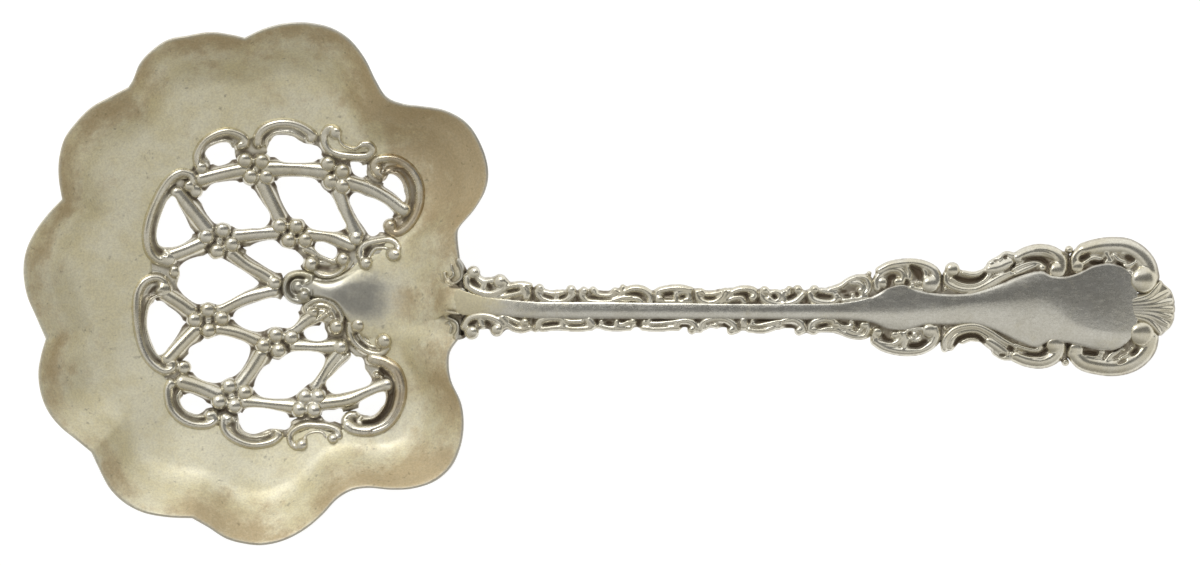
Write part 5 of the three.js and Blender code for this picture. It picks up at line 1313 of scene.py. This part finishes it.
class Graph:
    """Adds nodes to the tree of a material or a world."""

    def __init__(self, tree):
        self.nodes = tree.nodes
        self.links = tree.links

    def feed(self, socket, value):
        """Links a node's output to a socket, or sets the socket to a number, vector or colour."""
        if isinstance(value, bpy.types.NodeSocket):
            self.links.new(value, socket)
        elif socket.type == "RGBA":
            socket.default_value = (*value, 1)
        else:
            socket.default_value = value

    def add(self, kind, inputs=None, **settings):
        node = self.nodes.new("ShaderNode" + kind)
        for key, value in settings.items():
            setattr(node, key, value)
        for key, value in (inputs or {}).items():
            self.feed(node.inputs[key], value)
        return node

    def noise(self, place, scale, detail=4.0, roughness=0.55):
        inputs = {"Vector": place, "Scale": scale, "Detail": detail, "Roughness": roughness}
        return self.add("TexNoise", inputs).outputs["Fac"]

    def ramp(self, value, low, high):
        """0 below low, 1 above high, and smooth between them."""
        inputs = {"Value": value, "From Min": low, "From Max": high}
        return self.add("MapRange", inputs, interpolation_type="SMOOTHSTEP").outputs["Result"]

    def mixed(self, factor, a, b):
        """Colour a, or b where the factor is 1."""
        node = self.add("Mix", {"Factor": factor}, data_type="RGBA")
        for name, value in (("A", a), ("B", b)):
            self.feed(next(s for s in node.inputs if s.name == name and s.type == "RGBA"), value)
        return next(s for s in node.outputs if s.type == "RGBA")

    def maths(self, operation, a, b, clamp=True):
        return self.add("Math", {0: a, 1: b}, operation=operation, use_clamp=clamp).outputs[0]

    def product(self, a, b, clamp=True):
        return self.maths("MULTIPLY", a, b, clamp)

    def total(self, a, b, clamp=True):
        return self.maths("ADD", a, b, clamp)


# A dark brown for tarnish, and for the painted shade in creases, pits and low ground
TARNISH_AND_SHADE = (0.17, 0.13, 0.085)
BARE_SILVER = (0.57, 0.555, 0.49)


def new_material(name):
    material = bpy.data.materials.new(name)
    material.use_nodes = True
    graph = Graph(material.node_tree)
    return material, graph, graph.nodes["Principled BSDF"]


def worn_metal(name, tones, stained_and_shaded, roughness, grain, spots, streaked, dull):
    """Metal with worn patches, stains, tarnish and painted shade in creases, and places polished down to bare
    silver.
    """
    material, graph, shader = new_material(name)
    place = graph.add("TexCoord").outputs["Object"]

    def blotched(key, share, *noise):
        """A painted attribute with noise added to it."""
        painted = graph.add("Attribute", attribute_name=key).outputs["Fac"]
        blotches = graph.product(graph.noise(place, *noise), share, clamp=False)
        return graph.total(painted, blotches, clamp=False)

    patches = graph.ramp(graph.noise(place, 220, 8, 0.7), 0.38, 0.62)
    # Brown stains, and painted shade in the hollows of the left lobes' flutes
    browned_and_shaded = graph.ramp(blotched("stain_and_shade", 3.0, 240, 10, 0.75), 1.6, 2.5)
    speck = graph.ramp(graph.noise(place, 1300, 2, 0.7), 0.62, 0.78)
    fleck = graph.ramp(graph.noise(place, 4500, 4, 0.65), 0.35, 0.65)
    rubbed = graph.ramp(blotched("polish", 0.9, 1500, 6, 0.7), 0.35, 1.6)
    # Painted shade with tarnish: creases, pits and low ground turn towards the dark brown and lose shine
    dirt_and_shade = graph.ramp(blotched("crease", 0.5, 900, 3), 0.3, 1.15)

    colour = graph.mixed(patches, *tones)
    for cover, other in ((browned_and_shaded, stained_and_shaded), (graph.product(speck, spots), TARNISH_AND_SHADE), (rubbed, BARE_SILVER),
                         (graph.product(fleck, 0.16), TARNISH_AND_SHADE), (dirt_and_shade, TARNISH_AND_SHADE)):
        colour = graph.mixed(cover, colour, other)
    graph.feed(shader.inputs["Base Color"], colour)
    graph.feed(shader.inputs["Metallic"], graph.maths("SUBTRACT", 1.0, graph.product(dirt_and_shade, 0.75)))

    along = graph.add("Mapping", {"Vector": place, "Scale": (0.25, 1.3, 1.0)})
    streaks = graph.ramp(graph.noise(along.outputs[0], 1900, 6, 0.7), 0.45, 0.75)
    rough = graph.total(graph.product(dirt_and_shade, 0.3), graph.product(graph.noise(place, 2600, 3), 0.4 * roughness))
    for more in (graph.product(streaks, streaked), 0.8 * roughness, graph.product(browned_and_shaded, dull)):
        rough = graph.total(rough, more)
    smooth = graph.maths("SUBTRACT", 1.0, graph.product(rubbed, 0.47))
    graph.feed(shader.inputs["Roughness"], graph.product(rough, smooth))
    bump = {"Strength": grain, "Distance": 0.00002, "Height": graph.noise(place, 2600, 5)}
    graph.feed(shader.inputs["Normal"], graph.add("Bump", bump).outputs["Normal"])
    return material


finishes = {
    "gilt": worn_metal(
        "gilt", tones=[(0.92, 0.88, 0.70), (0.86, 0.80, 0.575)], stained_and_shaded=(0.68, 0.575, 0.385),
        roughness=0.57, grain=0.3, spots=0.4, streaked=0.0, dull=0.1),
    "carved": worn_metal(
        "carved", tones=[(0.79, 0.76, 0.66), (0.71, 0.665, 0.53)], stained_and_shaded=(0.56, 0.47, 0.33),
        roughness=0.26, grain=0.08, spots=0.15, streaked=0.03, dull=0.03),
    "plain": worn_metal(
        "plain", tones=[(0.75, 0.735, 0.67), (0.69, 0.67, 0.595)], stained_and_shaded=(0.72, 0.66, 0.47),
        roughness=0.24, grain=0.5, spots=0.1, streaked=0.1, dull=0.3),
}

# Browner spots of the gilding, and spots worn down to silver: x and y, reach, share
STAIN_SPOTS = [
    ((-17, 12), 6.5, 1.1), ((-19, -11.5), 4.5, 0.45), ((-26, 21), 6, 0.3), ((-18.3, -1.8), 3, 0.5),
    ((-21, -1.6), 2, 0.5), ((-40, 24), 4, 0.25), ((-24, -22.5), 5.5, 0.4), ((-19.5, -20.5), 3.5, 0.6),
    ((-38, -26), 3, 0.25), ((-40, -26), 5, 0.25),
]
POLISHED_SPOTS = [((-22.7, -16.8), 2, 0.35)]
CARVED_SPOTS = [((-15.4, 1.2), 1.4, 1), ((-15.6, -4.5), 1.4, 1)]
BARE_OUTSIDE = 0.85  # the bowl's outer side was never gilt


def spots_at(spots, x, y):
    """Soft round spots, added up."""
    return sum(share * np.exp(-((x - at[0])**2 + (y - at[1])**2) / reach**2) for at, reach, share in spots)


def from_rim(x, y):
    return rim_reach(turn_of(x, y)) - reach_of(x, y)


def stains_and_shade(x, y, name):
    """Where the metal is browner: by the bowl's rim, in its lobes, with painted shade in the left lobes'
    flutes, in its right half, and where the stem leaves it."""
    if name == "stem_relief":
        return 1.1 * np.clip((-9.0 - x) / 4, 0, 1)
    if name in ("scroll_relief_05", "scroll_relief_10"):
        return 0.75 * np.clip((x + 27) / 5, 0, 1)
    if name not in ("bowl_sheet", "tongue_relief"):
        return np.zeros(x.shape)
    by_rim = np.interp(x, [-60, -45, -30], [0.6, 0.75, 0.8]) * np.clip(1.15 - from_rim(x, y) / 4, 0, 1)
    by_rim *= 1 - spots_at([((-15, -1.8), 2.6, 1.0)], x, y)
    stain_and_shade = by_rim * np.interp(y, [-26, -5, 10, 26], [0.8, 0.75, 0.9, 0.9])
    turn = turn_of(x, y)
    lean = (rim_reach(turn + 0.03) - rim_reach(turn - 0.03)) / 1.5
    # Painted shade with some tarnish: the left lobes' flute hollows get browner, more on one side of each
    # lobe
    hollow = np.sin(math.pi * np.clip(from_rim(x, y) / FLUTE_WIDTH, 0, 1))**2
    stain_and_shade += 0.75 * hollow * np.clip(lean + 0.2, 0, 1) * np.clip((-42 - x) / 6, 0, 1)
    return stain_and_shade + spots_at(STAIN_SPOTS, x, y)


def polished(x, y, name):
    """Where the bowl is worn down to bright silver: at the end of the tongue, and below on the right."""
    if name not in ("bowl_sheet", "tongue_relief"):
        return np.zeros(x.shape)
    tongue = np.clip((-20.2 - x) / 4.4, 0, 1) * np.clip((3.6 - np.abs(y + 1.6)) / 2.4, 0, 1) * (x > -36)
    edge = np.clip(1.3 - from_rim(x, y) / 0.35, 0, 1) * np.interp(x, [-60, -30], [0.5, 1])
    carved = spots_at(CARVED_SPOTS, x, y) if name == "tongue_relief" else 0
    return np.clip(tongue + edge + carved + spots_at(POLISHED_SPOTS, x, y), 0, 1)


def outside(piece):
    """1 on the outer side of the gilt pieces, 0 elsewhere."""
    x, y, z = piece["vertices"].T
    return (piece["finish"] == "gilt") * (z < bowl_face(x, y) - BOWL_GAUGE / 2)


for piece in pieces:
    made = build_mesh(piece["name"], piece["vertices"], piece["polygons"])
    x, y = piece["vertices"][:, 0], piece["vertices"][:, 1]
    bare = outside(piece)
    values = {
        "crease": sampled(soft_crease if piece["name"] == "bowl_sheet" else crease, x, y),
        "stain_and_shade": stains_and_shade(x, y, piece["name"]) * (1 - bare),
        "polish": np.maximum(polished(x, y, piece["name"]), BARE_OUTSIDE * bare),
    }
    for key, value in values.items():
        attribute = made.data.attributes.new(key, "FLOAT", "POINT")
        attribute.data.foreach_set("value", value.astype(np.float32))
    made.data.materials.append(finishes[piece["finish"]])
    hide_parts(*piece["nodes"])
    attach(made, "root")


# Floor, world and camera

def add_floor():
    """A floor that the camera and the metal see as white, and that takes a shadow."""
    half = 3.0
    corners = [(-half, -half, 0), (half, -half, 0), (half, half, 0), (-half, half, 0)]
    mesh = bpy.data.meshes.new("floor")
    mesh.from_pydata(corners, [], [(0, 1, 2, 3)])
    floor = bpy.data.objects.new("floor", mesh)
    floor.location.z = -0.0001
    bpy.context.scene.collection.objects.link(floor)
    material, graph, shader = new_material("white_floor")
    graph.feed(shader.inputs["Base Color"], (0.25, 0.25, 0.25))
    graph.feed(shader.inputs["Roughness"], 0.9)
    path = graph.add("LightPath").outputs
    seen = graph.total(path["Is Camera Ray"], path["Is Glossy Ray"])
    seen = graph.total(seen, path["Is Transmission Ray"])
    glow = graph.add("Emission", {"Strength": 0.9})
    chosen = graph.add("MixShader", {"Fac": seen, 2: glow.outputs[0]})
    both = graph.add("AddShader", {0: shader.outputs[0], 1: chosen.outputs[0]})
    graph.feed(graph.nodes["Material Output"].inputs["Surface"], both.outputs[0])
    mesh.materials.append(material)


def add_world():
    """A bright room, lighter towards +Y, with a dark patch overhead and a soft lamp beyond it."""
    world = bpy.data.worlds.new("room")
    bpy.context.scene.world = world
    world.use_nodes = True
    graph = Graph(world.node_tree)
    direction = graph.add("TexCoord").outputs["Generated"]
    east, north, up = graph.add("SeparateXYZ", {0: direction}).outputs

    patch = graph.ramp(north, -0.03, 0.0)
    for side in (graph.ramp(north, 0.6, 0.5), graph.ramp(east, -0.44, -0.36), graph.ramp(up, -0.1, 0.1)):
        patch = graph.product(patch, side)
    toward_lamp = graph.add("VectorMath", {0: direction, 1: LAMP_DIRECTION}, operation="DOT_PRODUCT")
    lamp = graph.ramp(toward_lamp.outputs["Value"], math.cos(LAMP_OUTER), math.cos(LAMP_INNER))
    east_share = graph.ramp(east, -0.8, 0.8)
    middle_tone = graph.mixed(east_share, (0.60, 0.59, 0.565), (0.76, 0.75, 0.72))
    north_tone = graph.mixed(east_share, (0.92, 0.92, 0.91), (1.08, 1.08, 1.07))
    tone = graph.mixed(graph.ramp(north, -0.4, 0.9), middle_tone, north_tone)
    tone = graph.mixed(graph.ramp(north, -0.95, -0.25), (0.37, 0.36, 0.335), tone)
    tone = graph.mixed(patch, tone, (0.19, 0.19, 0.19))
    tone = graph.mixed(lamp, tone, (4.2, 4.2, 4.15))
    background = graph.nodes["Background"].inputs
    graph.feed(background["Color"], tone)
    graph.feed(background["Strength"], 1.0)


def add_camera():
    camera = bpy.data.cameras.new("camera")
    camera.sensor_width = SENSOR
    camera.lens = SENSOR * (CAMERA_HEIGHT - PHOTO_PLANE) / (PHOTO_WIDTH * MM_PER_PIXEL)
    camera.clip_end = 100
    made = bpy.data.objects.new("camera", camera)
    made.location = (0, 0, CAMERA_HEIGHT * MM)
    bpy.context.scene.collection.objects.link(made)
    bpy.context.scene.camera = made


add_floor()
add_world()
add_camera()
bpy.context.scene.view_settings.view_transform = "Standard"
